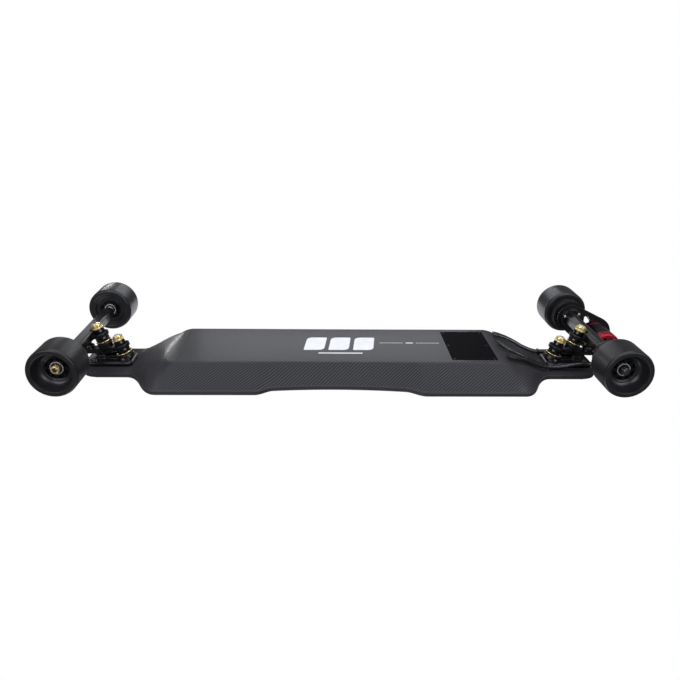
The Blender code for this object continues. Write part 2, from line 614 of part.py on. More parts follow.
def build_motor(name, side, pivot, wheel_axis):
    """Heights in the profiles run outwards from the board's middle plane."""
    turn = outwards(side)
    axle = (-AXLE_X, 0, AXLE_Z)
    motor = (MOTOR_AXIS[0], 0, MOTOR_AXIS[1])
    mount = finish(slab(mount_outline(), 0.00275), f"{name}_motor_mount", MATERIALS["black_metal"],
                   pivot, (0, side * 0.09125, 0))
    clamp = turned([(0, 0.0800), (0.0195, 0.0800), (0.0200, 0.0900), (0, 0.0900)], 20)
    combine(mount, helper(clamp, pivot, axle, turn), "UNION")
    for place, reach in ((axle, 0.0123), (motor, 0.0060)):
        hole = turned([(0, 0.070), (reach, 0.070), (reach, 0.110), (0, 0.110)], 16)
        combine(mount, helper(hole, pivot, place, turn), "DIFFERENCE")
    window = [(-0.4870, 0.0395), (-0.4935, 0.0385), (-0.5000, 0.0475), (-0.5000, 0.0560),
              (-0.4930, 0.0600), (-0.4870, 0.0560)]
    cut = helper(slab(window, 0.0060), pivot, (0, side * 0.09125, 0))
    combine(mount, cut, "DIFFERENCE")

    shaft = 0.0025
    base = [(shaft + GAP, 0.0450), (0.0198, 0.0450), (0.0198, 0.0815), (0.0080, 0.0815),
            (0.0080, 0.0830), (MOTOR_RADIUS, 0.0830), (MOTOR_RADIUS, 0.0882), (shaft + GAP, 0.0882)]
    finish(turned(base, 20), f"{name}_motor_stator", MATERIALS["red_metal"], pivot, motor, turn)
    spin = empty(f"{name}_motor_axis", (MOTOR_AXIS[0], side * 0.055, MOTOR_AXIS[1]), pivot)
    rotor = [(0, 0.0220), (0.0235, 0.0220), (MOTOR_RADIUS, 0.0240), (MOTOR_RADIUS, 0.0825),
             (0.0212, 0.0825), (0.0212, 0.0420), (shaft, 0.0420), (shaft, 0.1160), (0, 0.1160)]
    finish(turned(rotor, 20), f"{name}_motor_rotor", MATERIALS["red_metal"], spin, motor, turn)
    teeth, flange, bore = MOTOR_TEETH_RADIUS, 0.0140, shaft + GAP
    pinion = [(bore, 0.0968), (flange, 0.0968), (flange, 0.0982), (teeth, 0.0982),
              (teeth, 0.1138), (flange, 0.1138), (flange, 0.1152), (bore, 0.1152)]
    finish(turned(pinion, 15), f"{name}_motor_pulley", MATERIALS["aluminium"], spin, motor, turn)
    build_belt(name, side, pivot)

    teeth, flange = WHEEL_TEETH_RADIUS, 0.0305
    pulley = [(0.0090, 0.0967), (flange, 0.0967), (flange, 0.0983), (teeth, 0.0983),
              (teeth, 0.1137), (flange, 0.1137), (flange, 0.1153), (0.0190, 0.1153),
              (0.0190, 0.1202), (0.0090, 0.1202)]
    finish(turned(pulley, 24), f"{name}_wheel_pulley", MATERIALS["black_plastic"], wheel_axis,
           axle, turn)


# ---------------------------------------------------------------- cables
def build_cable(name, route, radius, board):
    """A sleeve along a smooth curve through its route, with a point every few diameters."""
    points = [Vector(p) for p in route]
    smooth = []
    for i in range(len(points) - 1):
        before = points[max(i - 1, 0)]
        after = points[min(i + 2, len(points) - 1)]
        here, there = points[i], points[i + 1]
        for t in (0, 0.5):
            smooth.append(0.5 * (2 * here + (there - before) * t
                                 + (2 * before - 5 * here + 4 * there - after) * t * t
                                 + (3 * here - before - 3 * there + after) * t * t * t))
    smooth.append(points[-1])
    curve = bpy.data.curves.new(name, "CURVE")
    curve.dimensions = "3D"
    curve.bevel_depth = radius
    curve.bevel_resolution = 2
    curve.use_fill_caps = True
    spline = curve.splines.new("POLY")
    spline.points.add(len(smooth) - 1)
    for point, place in zip(spline.points, smooth):
        point.co = (*place, 1)
    obj = bpy.data.objects.new(name, curve)
    bpy.context.scene.collection.objects.link(obj)
    obj.data.materials.append(MATERIALS["rubber"])
    obj.parent = board


# Each cable leaves the rear slope, passes beside the baseplate, and goes on to its motor.
LEFT_ROUTE = [(-0.2960, 0.0490, 0.0602), (-0.3130, 0.0480, 0.0650), (-0.3320, 0.0440, 0.0726),
              (-0.3530, 0.0395, 0.0836), (-0.3760, 0.0365, 0.0916), (-0.4020, 0.0350, 0.0925),
              (-0.4300, 0.0350, 0.0925), (-0.4540, 0.0375, 0.0918), (-0.4690, 0.0490, 0.0890),
              (-0.4765, 0.0640, 0.0845), (-0.4798, 0.0770, 0.0810), (-0.4802, 0.0880, 0.0800)]
RIGHT_ROUTE = [(-0.2960, -0.0570, 0.0600), (-0.3130, -0.0545, 0.0650), (-0.3320, -0.0480, 0.0726),
               (-0.3530, -0.0410, 0.0836), (-0.3760, -0.0370, 0.0910)]
RIGHT_ROUTE += [(x, -y, z) for x, y, z in LEFT_ROUTE[5:]]
SENSOR_ROUTE = [(-0.2950, 0.0080, 0.0590), (-0.3020, -0.0080, 0.0622), (-0.3120, -0.0200, 0.0656),
                (-0.3280, -0.0250, 0.0716), (-0.3460, -0.0250, 0.0808), (-0.3620, -0.0220, 0.0888),
                (-0.3780, -0.0190, 0.0935)]


def build_cables(board):
    build_cable("left_motor_cable", LEFT_ROUTE, 0.0045, board)
    build_cable("right_motor_cable", RIGHT_ROUTE, 0.0045, board)
    build_cable("sensor_cable", SENSOR_ROUTE, 0.0035, board)


# ---------------------------------------------------------------- assembly
for old in list(bpy.data.objects):
    bpy.data.objects.remove(old, do_unlink=True)

SPOTS = {}
MATERIALS = {
    "carbon": material("carbon", (0.055, 0.055, 0.060), 0.38),
    "grip": material("grip", (0.012, 0.012, 0.012), 0.95),
    "black_metal": material("black_metal", (0.018, 0.018, 0.020), 0.42, 0.6),
    "black_plastic": material("black_plastic", (0.020, 0.020, 0.022), 0.45),
    "urethane": material("urethane", (0.022, 0.022, 0.024), 0.55),
    "rubber": material("rubber", (0.015, 0.015, 0.016), 0.70),
    "steel": material("steel", (0.62, 0.62, 0.64), 0.28, 1.0),
    "aluminium": material("aluminium", (0.70, 0.70, 0.72), 0.35, 1.0),
    "gold": material("gold", (0.80, 0.62, 0.30), 0.25, 1.0),
    "red_metal": material("red_metal", (0.45, 0.02, 0.05), 0.35, 0.8),
    "blue_wrap": material("blue_wrap", (0.03, 0.10, 0.30), 0.50),
}

BOARD = empty("board", (BOX_SHIFT, 0, 0))
build_deck(BOARD)
build_electronics(BOARD)
build_controls(BOARD)
for truck, direction in (("front", 1), ("rear", -1)):
    hanger_empty = build_truck(truck, direction, BOARD)
    for hand, way in (("left", 1), ("right", -1)):
        wheel_empty = build_wheel(f"{truck}_{hand}", direction, way, hanger_empty)
        if direction < 0:
            build_motor(hand, way, hanger_empty, wheel_empty)
build_cables(BOARD)
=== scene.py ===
"""The looks of the electric longboard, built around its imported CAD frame. +X is the front, +Z is up,
and the wheels stand on z = 0. Lengths are in metres. The board is seen from below, turned over."""

import json
import math

import bmesh
import bpy
from mathutils import Matrix, Vector, noise


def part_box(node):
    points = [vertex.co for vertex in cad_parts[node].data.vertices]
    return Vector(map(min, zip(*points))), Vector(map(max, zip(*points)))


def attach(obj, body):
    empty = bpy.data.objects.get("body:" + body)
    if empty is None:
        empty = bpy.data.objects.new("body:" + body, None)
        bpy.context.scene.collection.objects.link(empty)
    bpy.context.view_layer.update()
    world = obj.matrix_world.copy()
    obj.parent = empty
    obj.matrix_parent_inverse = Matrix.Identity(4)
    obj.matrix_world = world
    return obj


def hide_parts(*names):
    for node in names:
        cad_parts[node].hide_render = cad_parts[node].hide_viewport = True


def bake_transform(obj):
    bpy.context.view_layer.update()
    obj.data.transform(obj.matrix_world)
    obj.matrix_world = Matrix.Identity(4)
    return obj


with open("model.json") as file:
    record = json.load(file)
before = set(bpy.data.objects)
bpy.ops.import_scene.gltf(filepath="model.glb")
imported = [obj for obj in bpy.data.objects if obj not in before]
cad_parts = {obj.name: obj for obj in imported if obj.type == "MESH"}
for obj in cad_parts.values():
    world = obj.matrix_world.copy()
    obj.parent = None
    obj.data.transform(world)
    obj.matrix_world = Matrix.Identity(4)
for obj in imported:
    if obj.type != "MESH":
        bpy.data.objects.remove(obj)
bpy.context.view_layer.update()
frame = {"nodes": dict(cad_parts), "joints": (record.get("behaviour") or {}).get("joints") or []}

# ---------------------------------------------------------------- dimensions, from the frame
JOINTS = {joint["name"]: joint for joint in frame["joints"]}
FRONT_AXLE = Vector(JOINTS["front_left_wheel_spin"]["pos_m"])
REAR_AXLE = Vector(JOINTS["rear_left_wheel_spin"]["pos_m"])
SHIFT = (FRONT_AXLE.x + REAR_AXLE.x) / 2        # x of the wheelbase's middle
AXLE_X = (FRONT_AXLE.x - REAR_AXLE.x) / 2
AXLE_Z = FRONT_AXLE.z
WHEEL_MID = FRONT_AXLE.y
MOTOR_AXIS = Vector(JOINTS["left_motor_spin"]["pos_m"]) - Vector((SHIFT, 0, 0))
DECK_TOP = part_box("deck_body")[1].z
PANEL_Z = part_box("deck_body")[0].z
DECK_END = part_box("deck_body")[1].x - SHIFT
GRIP_LOW, GRIP_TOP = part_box("grip_tape")[0].z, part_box("grip_tape")[1].z
PLATE_LOW, PLATE_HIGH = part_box("esc_heat_sink")
WHEEL_RADIUS = AXLE_Z
WHEEL_HALF = (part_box("front_left_tyre")[1].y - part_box("front_left_tyre")[0].y) / 2
MOTOR_RADIUS = (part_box("left_motor_rotor")[1].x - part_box("left_motor_rotor")[0].x) / 2

RIM_THICKNESS = 0.0070
RIM_LOW = DECK_TOP - RIM_THICKNESS
PANEL_HALF = 0.0774
TIP_RADIUS = 0.0280
WAIST_HALF = 0.1036
WALL = 0.0030
AXLE_RADIUS = 0.0040
KINGPIN_RADIUS = 0.0048
KINGPIN_TILT = math.radians(18)
BEARING_RADIUS = 0.0110
INNER_SEAT = (0.4000, 0.0825)        # (x, z) from the wheelbase's middle, as all the truck's places
OUTER_SEAT = (0.4348, 0.0600)
YOKE_BALL = (0.4400, 0.0860)
HANGER_BALL = (0.4640, 0.0705)
RING_MIDDLE = 0.0155
BUTTON_PLACE = (-0.3120, 0.0320)
PORT_PLACE = (-0.3120, -0.0320)
WHEEL_TEETH, MOTOR_TEETH = 36, 15
WHEEL_TEETH_RADIUS, MOTOR_TEETH_RADIUS = 0.0281, 0.0113
WHEEL_PITCH, MOTOR_PITCH = 0.02865, 0.01194     # radii of the belt's middle line
BASE_MIDDLE = 0.4250
BASE_BOLTS = [(x, y) for x in (-0.0270, 0.0270) for y in (-0.0207, 0.0207)]
NOSE_FOOT = (0.4615, 0.0480)
TOW = 0.0016                        # width of one bundle of the carbon cloth
CABLE_RADIUS, SENSOR_RADIUS = 0.0045, 0.0035
GAP = 0.0003


# ---------------------------------------------------------------- node helpers
class Nodes:
    """Short calls that add and link the nodes of one material."""

    def __init__(self, name):
        self.material = bpy.data.materials.new(name)
        self.material.use_nodes = True
        self.tree = self.material.node_tree
        self.shader = self.tree.nodes["Principled BSDF"]
        self.place = self.add("ShaderNodeTexCoord").outputs["Object"]

    def add(self, kind, **settings):
        node = self.tree.nodes.new(kind)
        for key, value in settings.items():
            setattr(node, key, value)
        return node

    def put(self, socket, value):
        if isinstance(value, bpy.types.NodeSocket):
            self.tree.links.new(value, socket)
        else:
            socket.default_value = value

    def set(self, **values):
        """Sets the shader's sockets: base_color, roughness, coat_weight and so on."""
        names = {"specular": "Specular IOR Level"}
        for key, value in values.items():
            self.put(self.shader.inputs[names.get(key, key.replace("_", " ").title())], value)

    def math(self, operation, first, second=0.0, third=0.0):
        node = self.add("ShaderNodeMath", operation=operation)
        for socket, value in zip(node.inputs, (first, second, third)):
            self.put(socket, value)
        return node.outputs[0]

    def noise(self, scale, detail=3.0, roughness=0.5, where=None):
        node = self.add("ShaderNodeTexNoise")
        self.put(node.inputs["Vector"], where or self.place)
        self.put(node.inputs["Scale"], scale)
        self.put(node.inputs["Detail"], detail)
        self.put(node.inputs["Roughness"], roughness)
        return node.outputs["Fac"]

    def stretched(self, scale):
        node = self.add("ShaderNodeMapping")
        self.put(node.inputs["Vector"], self.place)
        node.inputs["Scale"].default_value = scale
        return node.outputs["Vector"]

    def ramp(self, value, low, high, first, last):
        """Maps low..high of a value to first..last, which are numbers."""
        node = self.add("ShaderNodeMapRange")
        for socket, given in zip(node.inputs, (value, low, high, first, last)):
            self.put(socket, given)
        return node.outputs["Result"]

    def mix(self, factor, dark, light):
        """Goes from dark to light as the factor goes from 0 to 1. Both are colours."""
        node = self.add("ShaderNodeMix", data_type="RGBA")
        self.put(node.inputs[0], factor)
        for socket, colour in ((node.inputs[6], dark), (node.inputs[7], light)):
            self.put(socket, (*colour, 1) if isinstance(colour, tuple) else colour)
        return node.outputs[2]

    def between(self, factor, first, second):
        """Goes from the first number to the second as the factor goes from 0 to 1."""
        node = self.add("ShaderNodeMix", data_type="FLOAT")
        for index, value in ((0, factor), (2, first), (3, second)):
            self.put(node.inputs[index], value)
        return node.outputs[0]

    def bump(self, height, distance, strength=1.0, before=None):
        node = self.add("ShaderNodeBump")
        self.put(node.inputs["Height"], height)
        node.inputs["Distance"].default_value = distance
        node.inputs["Strength"].default_value = strength
        if before:
            self.put(node.inputs["Normal"], before)
        return node.outputs["Normal"]


# ---------------------------------------------------------------- materials
def carbon_fibre():
    """Dark twill under a satin clear coat. Its bundles step over each other along slanting lines.
    Their sheen is painted into the colour as lighter and darker stripes, fainter on the rim's side.
    """
    n = Nodes("carbon_twill")
    split = n.add("ShaderNodeSeparateXYZ")
    n.put(split.inputs[0], n.place)
    down = n.math("MULTIPLY", split.outputs["Z"], 0.6)
    across = n.math("SUBTRACT", split.outputs["Y"], down)
    warp = n.math("DIVIDE", split.outputs["X"], TOW)
    weft = n.math("DIVIDE", across, TOW)
    step = n.math("ADD", n.math("FLOOR", warp), n.math("FLOOR", weft))
    over = n.math("LESS_THAN", n.math("FLOORED_MODULO", step, 4.0), 1.5)
    round_warp = n.math("SINE", n.math("MULTIPLY", n.math("FRACT", warp), math.pi))
    round_weft = n.math("SINE", n.math("MULTIPLY", n.math("FRACT", weft), math.pi))
    height = n.between(over, round_weft, round_warp)
    # Painted sheen: the colour goes lighter and darker along slanting stripes, as light catches the
    # bundles. The stripes are fainter on the rim's side.
    ribs = n.math("SINE", n.math("MULTIPLY", n.math("ADD", warp, weft), math.tau / 4))
    painted_sheen_strength = n.ramp(split.outputs["Z"], RIM_LOW - 0.0015, RIM_LOW + 0.0010, 0.5, 0.08)
    painted_twill_sheen = n.mix(n.math("MULTIPLY_ADD", ribs, painted_sheen_strength, 0.5), (0.005, 0.005, 0.006), (0.044, 0.044, 0.050))
    worn = n.ramp(n.noise(35.0), 0.35, 0.7, 0.0, 0.3)
    n.set(base_color=n.mix(worn, painted_twill_sheen, (0.022, 0.022, 0.025)), coat_weight=0.14, specular=0.28,
          roughness=n.ramp(over, 0.0, 1.0, 0.42, 0.54), coat_roughness=0.16,
          normal=n.bump(height, 0.00010, 0.4, n.bump(n.noise(24.0, 2.0), 0.0006, 0.5)))
    return n.material


def grit():
    """Coarse mineral grains in black glue."""
    n = Nodes("grip_grit")
    grains = n.add("ShaderNodeTexVoronoi", feature="F1")
    n.put(grains.inputs["Vector"], n.place)
    n.put(grains.inputs["Scale"], 1500.0)
    height = n.math("SUBTRACT", 1.0, grains.outputs["Distance"])
    patchy = n.noise(14.0, 4.0)
    n.set(base_color=n.mix(n.ramp(patchy, 0.35, 0.7, 0.0, 1.0),
                           (0.010, 0.010, 0.010), (0.022, 0.022, 0.022)),
          roughness=n.ramp(grains.outputs["Distance"], 0.0, 0.6, 0.55, 0.95),
          specular=0.45, normal=n.bump(height, 0.0005, 0.9))
    return n.material


def plain(name, colour, roughness, metallic=0.0, grain=900.0, depth=0.00004, spread=0.06,
          tint=0.25, **more):
    """A smooth material with fine grain, a little mottling of its colour and uneven gloss."""
    n = Nodes(name)
    more.setdefault("specular", 0.28)
    mottled = n.ramp(n.noise(60.0, 4.0), 0.3, 0.7, 0.0, 1.0)
    dark = tuple(c * (1 - tint) for c in colour)
    light = tuple(min(c * (1 + tint), 1.0) for c in colour)
    n.set(base_color=n.mix(mottled, dark, light), metallic=metallic,
          roughness=n.ramp(n.noise(220.0, 3.0), 0.3, 0.7, roughness - spread, roughness + spread),
          normal=n.bump(n.noise(grain, 2.0), depth, 0.6), **more)
    return n.material


def brushed(name, colour, roughness, scale, metallic=1.0, **more):
    """Metal with fine lines round its turned or ground faces."""
    n = Nodes(name)
    lines = n.noise(1.0, 2.0, 0.6, n.stretched(scale))
    n.set(base_color=n.mix(n.ramp(lines, 0.35, 0.65, 0.0, 1.0), tuple(c * 0.82 for c in colour), colour),
          metallic=metallic, roughness=n.ramp(lines, 0.3, 0.7, roughness - 0.06, roughness + 0.08),
          normal=n.bump(lines, 0.00001, 0.3), **more)
    return n.material


def wrinkled_sleeve():
    """Shrunk glossy plastic with creases across and along the cable, with painted shade in the creases'
    hollows and a painted highlight on their ridges.
    """
    n = Nodes("cable_sleeve")
    creases = n.noise(1.0, 4.0, 0.55, n.stretched((260.0, 130.0, 260.0)))
    # Painted shade and highlight: the colour is darker where the crease bump is low and lighter where it
    # is high.
    n.set(base_color=n.mix(creases, (0.004, 0.004, 0.005), (0.014, 0.014, 0.016)), roughness=0.24,
          specular=0.5, coat_weight=0.4, coat_roughness=0.12, normal=n.bump(creases, 0.0012, 0.8))
    return n.material


MATERIALS = {
    "carbon": carbon_fibre(),
    "grip": grit(),
    "urethane": plain("urethane", (0.009, 0.009, 0.011), 0.36, grain=500.0, depth=0.00002, specular=0.42),
    "truck": plain("truck_black", (0.004, 0.004, 0.005), 0.32, grain=1400.0, coat_weight=0.2),
    "plate": plain("heat_sink_black", (0.002, 0.002, 0.003), 0.60, specular=0.03),
    "plastic": plain("moulded_black", (0.004, 0.004, 0.005), 0.34),
    "core": plain("hub_black", (0.003, 0.003, 0.004), 0.28),
    "rubber": plain("black_rubber", (0.007, 0.007, 0.008), 0.50, grain=1200.0),
    "bushing": plain("bushing_urethane", (0.003, 0.003, 0.004), 0.14, spread=0.03, coat_weight=0.3),
    "steel": brushed("zinc_steel", (0.84, 0.84, 0.86), 0.22, (300.0, 2200.0, 300.0), 0.75),
    "gold": brushed("yellow_zinc", (1.0, 0.80, 0.38), 0.18, (300.0, 300.0, 2200.0), 0.75),
    "copper": plain("copper_winding", (0.55, 0.22, 0.08), 0.32, 1.0, grain=1800.0, depth=0.0002),
    "red": brushed("red_anodised", (0.40, 0.015, 0.038), 0.30, (250.0, 2600.0, 250.0), 0.7),
    "dark_red": brushed("dark_red_anodised", (0.30, 0.012, 0.035), 0.34, (250.0, 2600.0, 250.0)),
    "dark_steel": brushed("dark_steel", (0.16, 0.16, 0.17), 0.24, (300.0, 2200.0, 300.0)),
    "pinion": brushed("pinion_steel", (0.42, 0.42, 0.44), 0.30, (300.0, 2200.0, 300.0)),
    "can": brushed("motor_can", (0.05, 0.05, 0.055), 0.28, (250.0, 2600.0, 250.0)),
    "nylon": plain("nylon_insert", (0.60, 0.58, 0.50), 0.45),
    "sleeve": wrinkled_sleeve(),
    "wrap": plain("battery_wrap", (0.03, 0.10, 0.30), 0.40, coat_weight=0.2),
    "print": plain("pale_print", (0.78, 0.78, 0.80), 0.45, grain=2500.0, tint=0.06),
}


# ---------------------------------------------------------------- mesh helpers
def place_at(x, y, z):
    return Matrix.Translation((x, y, z))


def piece(bm, name, mat, body, replaces=(), sharp=38, move=None):
    """Makes a piece from a bmesh in the board's frame, riding on a body of the frame."""
    bmesh.ops.recalc_face_normals(bm, faces=bm.faces)
    mesh = bpy.data.meshes.new(name)
    bm.to_mesh(mesh)
    bm.free()
    return dress(mesh, name, mat, body, replaces, sharp, move)


def dress(mesh, name, mat, body, replaces=(), sharp=38, move=None):
    if move is not None:
        mesh.transform(move)
        if move.determinant() < 0:
            mesh.flip_normals()
    mesh.transform(place_at(SHIFT, 0, 0))
    mesh.shade_smooth()
    mesh.set_sharp_from_angle(angle=math.radians(sharp))
    obj = bpy.data.objects.new(name, mesh)
    bpy.context.scene.collection.objects.link(obj)
    mesh.materials.append(MATERIALS[mat])
    if body:
        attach(obj, body)
    if replaces:
        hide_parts(*([replaces] if isinstance(replaces, str) else replaces))
    return obj


def rounded_path(points, steps=4):
    """Points whose third value is the radius of the corner there, as a path with those corners
    rounded. A point with no third value stays sharp. The path is closed."""
    path = []
    count = len(points)
    for i, (x, y, *radius) in enumerate(points):
        here = Vector((x, y))
        if not radius or radius[0] == 0:
            path.append((x, y))
            continue
        before = (Vector(points[i - 1][:2]) - here)
        after = (Vector(points[(i + 1) % count][:2]) - here)
        reach = min(radius[0], before.length * 0.48, after.length * 0.48)
        start, end = here + before.normalized() * reach, here + after.normalized() * reach
        for k in range(steps + 1):
            t = k / steps
            point = start * (1 - t) ** 2 + here * 2 * t * (1 - t) + end * t * t
            path.append((point.x, point.y))
    return path


def turned(profile, segments=64, turn=0.0):
    """A closed profile of (radius, height) points turned about Z."""
    bm = bmesh.new()
    rings = []
    for radius, height in profile:
        if radius < 1e-7:
            rings.append([bm.verts.new((0, 0, height))])
            continue
        ring = []
        for i in range(segments):
            angle = turn + math.tau * i / segments
            ring.append(bm.verts.new((radius * math.cos(angle), radius * math.sin(angle), height)))
        rings.append(ring)
    close = len(rings[0]) > 1
    for low, high in zip(rings, rings[1:] + (rings[:1] if close else [])):
        for i in range(segments):
            j = (i + 1) % segments
            corners = [low[i % len(low)], low[j % len(low)], high[j % len(high)], high[i % len(high)]]
            corners = list(dict.fromkeys(corners))
            if len(corners) > 2:
                bm.faces.new(corners)
    return bm


def lathe(profile, steps, segments=64):
    """A profile turned about Z, with its corners rounded in so many steps."""
    return turned(rounded_path(profile, steps), segments)


def hex_nut(across_flats, height, bore, chamfer=0.0006, segments=48):
    """A hexagon about Z whose top and bottom corners are chamfered to a circle."""
    bm = bmesh.new()
    rings = []
    round_off = across_flats / 2 * 1.02
    levels = [(0, round_off), (chamfer, 1), (height - chamfer, 1), (height, round_off)]
    for z, limit in levels:
        ring = []
        for i in range(segments):
            angle = math.tau * i / segments
            flat = math.tau / 6
            reach = min(across_flats / 2 / math.cos((angle + flat / 2) % flat - flat / 2), limit)
            ring.append(bm.verts.new((reach * math.cos(angle), reach * math.sin(angle), z)))
        rings.append(ring)
    inner = []
    for z in (height, 0):
        inner.append([bm.verts.new((bore * math.cos(math.tau * i / segments),
                                    bore * math.sin(math.tau * i / segments), z))
                      for i in range(segments)])
    rings += inner
    for low, high in zip(rings, rings[1:] + rings[:1]):
        for i in range(segments):
            j = (i + 1) % segments
            bm.faces.new((low[i], low[j], high[j], high[i]))
    return bm


def prism(outline, low, high):
    bm = bmesh.new()
    face = bm.faces.new([bm.verts.new((x, y, low)) for x, y in outline])
    risen = bmesh.ops.extrude_face_region(bm, geom=[face])
    verts = [v for v in risen["geom"] if isinstance(v, bmesh.types.BMVert)]
    bmesh.ops.translate(bm, verts=verts, vec=(0, 0, high - low))
    bmesh.ops.recalc_face_normals(bm, faces=bm.faces)
    return bm


def slab(side_view, low, high):
    """A side view of (x, z) points between two places along Y."""
    bm = bmesh.new()
    face = bm.faces.new([bm.verts.new((x, low, z)) for x, z in side_view])
    risen = bmesh.ops.extrude_face_region(bm, geom=[face])
    verts = [v for v in risen["geom"] if isinstance(v, bmesh.types.BMVert)]
    bmesh.ops.translate(bm, verts=verts, vec=(0, high - low, 0))
    bmesh.ops.recalc_face_normals(bm, faces=bm.faces)
    return bm


def softened(bm, width, segments=2, angle=25):
    """Bevels the edges sharper than an angle."""
    edges = [e for e in bm.edges if e.is_manifold and e.calc_face_angle(0) > math.radians(angle)]
    bmesh.ops.bevel(bm, geom=edges, offset=width, segments=segments, profile=0.6, affect="EDGES",
                    clamp_overlap=True)
    return bm


def moved(bm, matrix):
    bmesh.ops.transform(bm, matrix=matrix, verts=bm.verts)
    return bm


def joined(*parts):
    """One bmesh holding all of the given ones."""
    whole = parts[0]
    for part in parts[1:]:
        mesh = bpy.data.meshes.new("joining")
        part.to_mesh(mesh)
        part.free()
        whole.from_mesh(mesh)
        bpy.data.meshes.remove(mesh)
    return whole


def scratch(bm):
    """A temporary object for a modifier to work on."""
    bmesh.ops.recalc_face_normals(bm, faces=bm.faces)
    mesh = bpy.data.meshes.new("scratch")
    bm.to_mesh(mesh)
    bm.free()
    obj = bpy.data.objects.new("scratch", mesh)
    bpy.context.scene.collection.objects.link(obj)
    return obj


def baked(obj, *others):
    """The object's evaluated mesh as a bmesh. The temporary objects are removed."""
    bpy.context.view_layer.update()
    evaluated = obj.evaluated_get(bpy.context.evaluated_depsgraph_get())
    bm = bmesh.new()
    bm.from_mesh(evaluated.to_mesh())
    evaluated.to_mesh_clear()
    for each in (obj, *others):
        mesh = each.data
        bpy.data.objects.remove(each)
        bpy.data.meshes.remove(mesh)
    return bm


def cut(bm, *cutters):
    """Takes the cutters' shapes away from a bmesh."""
    body = scratch(bm)
    tools = [scratch(cutter) for cutter in cutters]
    for tool in tools:
        modifier = body.modifiers.new("cut", "BOOLEAN")
        modifier.operation = "DIFFERENCE"
        modifier.object = tool
    return baked(body, *tools)


def cast(bm, voxel, rounds=6):
    """Melts overlapping shapes into one, with the small fillets of a casting or forging."""
    body = scratch(bm)
    remesh = body.modifiers.new("melt", "REMESH")
    remesh.mode = "VOXEL"
    remesh.voxel_size = voxel
    smooth = body.modifiers.new("fillet", "SMOOTH")
    smooth.iterations = rounds
    smooth.factor = 0.5
    return baked(body)


def blended(a, b, share):
    return a + (b - a) * share


def spread(start, end, count):
    return [blended(start, end, i / count) for i in range(count + 1)]


def circle(centre, radius, start, end, count):
    return [(centre[0] + radius * math.cos(a), centre[1] + radius * math.sin(a))
            for a in spread(start, end, count)]


def rounded_rectangle(centre, half, radius, steps=8):
    points = []
    for quarter, (sx, sy) in enumerate(((1, 1), (-1, 1), (-1, -1), (1, -1))):
        corner = (centre[0] + sx * (half[0] - radius), centre[1] + sy * (half[1] - radius))
        start = math.pi / 2 * quarter
        points += circle(corner, radius, start, start + math.pi / 2, steps)
    return points


# ---------------------------------------------------------------- deck
def ease(value, start, end):
    t = min(max((value - start) / (end - start), 0), 1)
    return t * t * (3 - 2 * t)


def rounded_end(half, x, end, radius):
    past = min(max(abs(x) - (end - radius), 0), radius)
    return half - radius + math.sqrt(max(radius * radius - past * past, 0))


def soft_least(a, b, reach):
    """The smaller of two values, with the corner between them rounded over the reach."""
    share = min(max(0.5 + 0.5 * (b - a) / reach, 0), 1)
    return blended(b, a, share) - reach * share * (1 - share)


def deck_half(x):
    """Half the deck's width at x: a waist, a wide platform at each end of it, and a neck."""
    ahead = x >= 0
    along = abs(x)
    waist = WAIST_HALF + 0.5 * (x - 0.017) ** 2
    platform, step = (0.1242, (0.120, 0.150)) if ahead else (0.1283, (0.110, 0.145))
    wide = blended(waist, platform, ease(along, *step))
    neck, neck_reach = (0.0570, 0.034) if ahead else (0.0605, 0.044)
    shoulder, at, slope = (0.1050, 0.3438, 2.04) if ahead else (0.0930, 0.3455, 2.30)
    half = soft_least(wide, shoulder - slope * (along - at), 0.034)
    return rounded_end(-soft_least(-neck, -half, neck_reach), x, DECK_END, TIP_RADIUS)


def slope_share(x):
    """0 on the flat bottom panel, 1 on the neck, and an S curve between them."""
    panel_end, neck_start = (0.2880, 0.3815) if x >= 0 else (0.2830, 0.3770)
    t = min(max((abs(x) - panel_end) / (neck_start - panel_end), 0), 1)
    return 0.3 * t + 0.7 * ease(t ** 1.3, 0, 1)


def deck_section(x, inset=0.0):
    """One section round the deck. The inset rounds off the tips' upper and lower edges."""
    half = deck_half(x) - inset
    share = slope_share(x)
    low = blended(PANEL_Z, RIM_LOW, share) + inset
    rim = RIM_LOW + inset
    bottom = min(blended(PANEL_HALF, 0.0550, share), half - 0.0080)
    top = DECK_TOP - inset
    fold = blended(0.0024, 0.0500, ease(share, 0.0, 0.25))
    right = rounded_path([(0, top), (half, top, 0.0016), (half, rim, 0.0026),
                          (half - 0.0032, rim, 0.0016), (bottom, low, fold), (0, low)], 6)
    ring = [(x, y, z) for y, z in right]
    return ring + [(x, -y, z) for y, z in reversed(right) if y > 1e-6]


def loft(sections):
    bm = bmesh.new()
    rings = [[bm.verts.new(point) for point in section] for section in sections]
    for near, far in zip(rings, rings[1:]):
        for i in range(len(near)):
            j = (i + 1) % len(near)
            bm.faces.new((near[i], near[j], far[j], far[i]))
    bm.faces.new(rings[0])
    bm.faces.new(rings[-1])
    bmesh.ops.recalc_face_normals(bm, faces=bm.faces)
    return bm


def deck_stations():
    """(x, inset) of each section along the deck, close together where its shape changes."""
    half = [(x, 0.0) for x in spread(0.0, 0.100, 8)[:-1] + spread(0.100, 0.156, 16)[:-1]]
    half += [(x, 0.0) for x in spread(0.156, 0.280, 6)[:-1] + spread(0.280, 0.392, 42)[:-1]]
    half += [(x, 0.0) for x in spread(0.392, DECK_END - TIP_RADIUS, 4)[:-1]]
    corner = DECK_END - TIP_RADIUS
    half += [(corner + TIP_RADIUS * math.sin(a), 0.0) for a in spread(0, math.radians(84), 12)]
    edge = 0.0016
    last = half[-1][0]
    half += [(blended(last, DECK_END, 0.75), edge * 0.35), (DECK_END, edge)]
    return [(-x, inset) for x, inset in reversed(half[1:])] + half


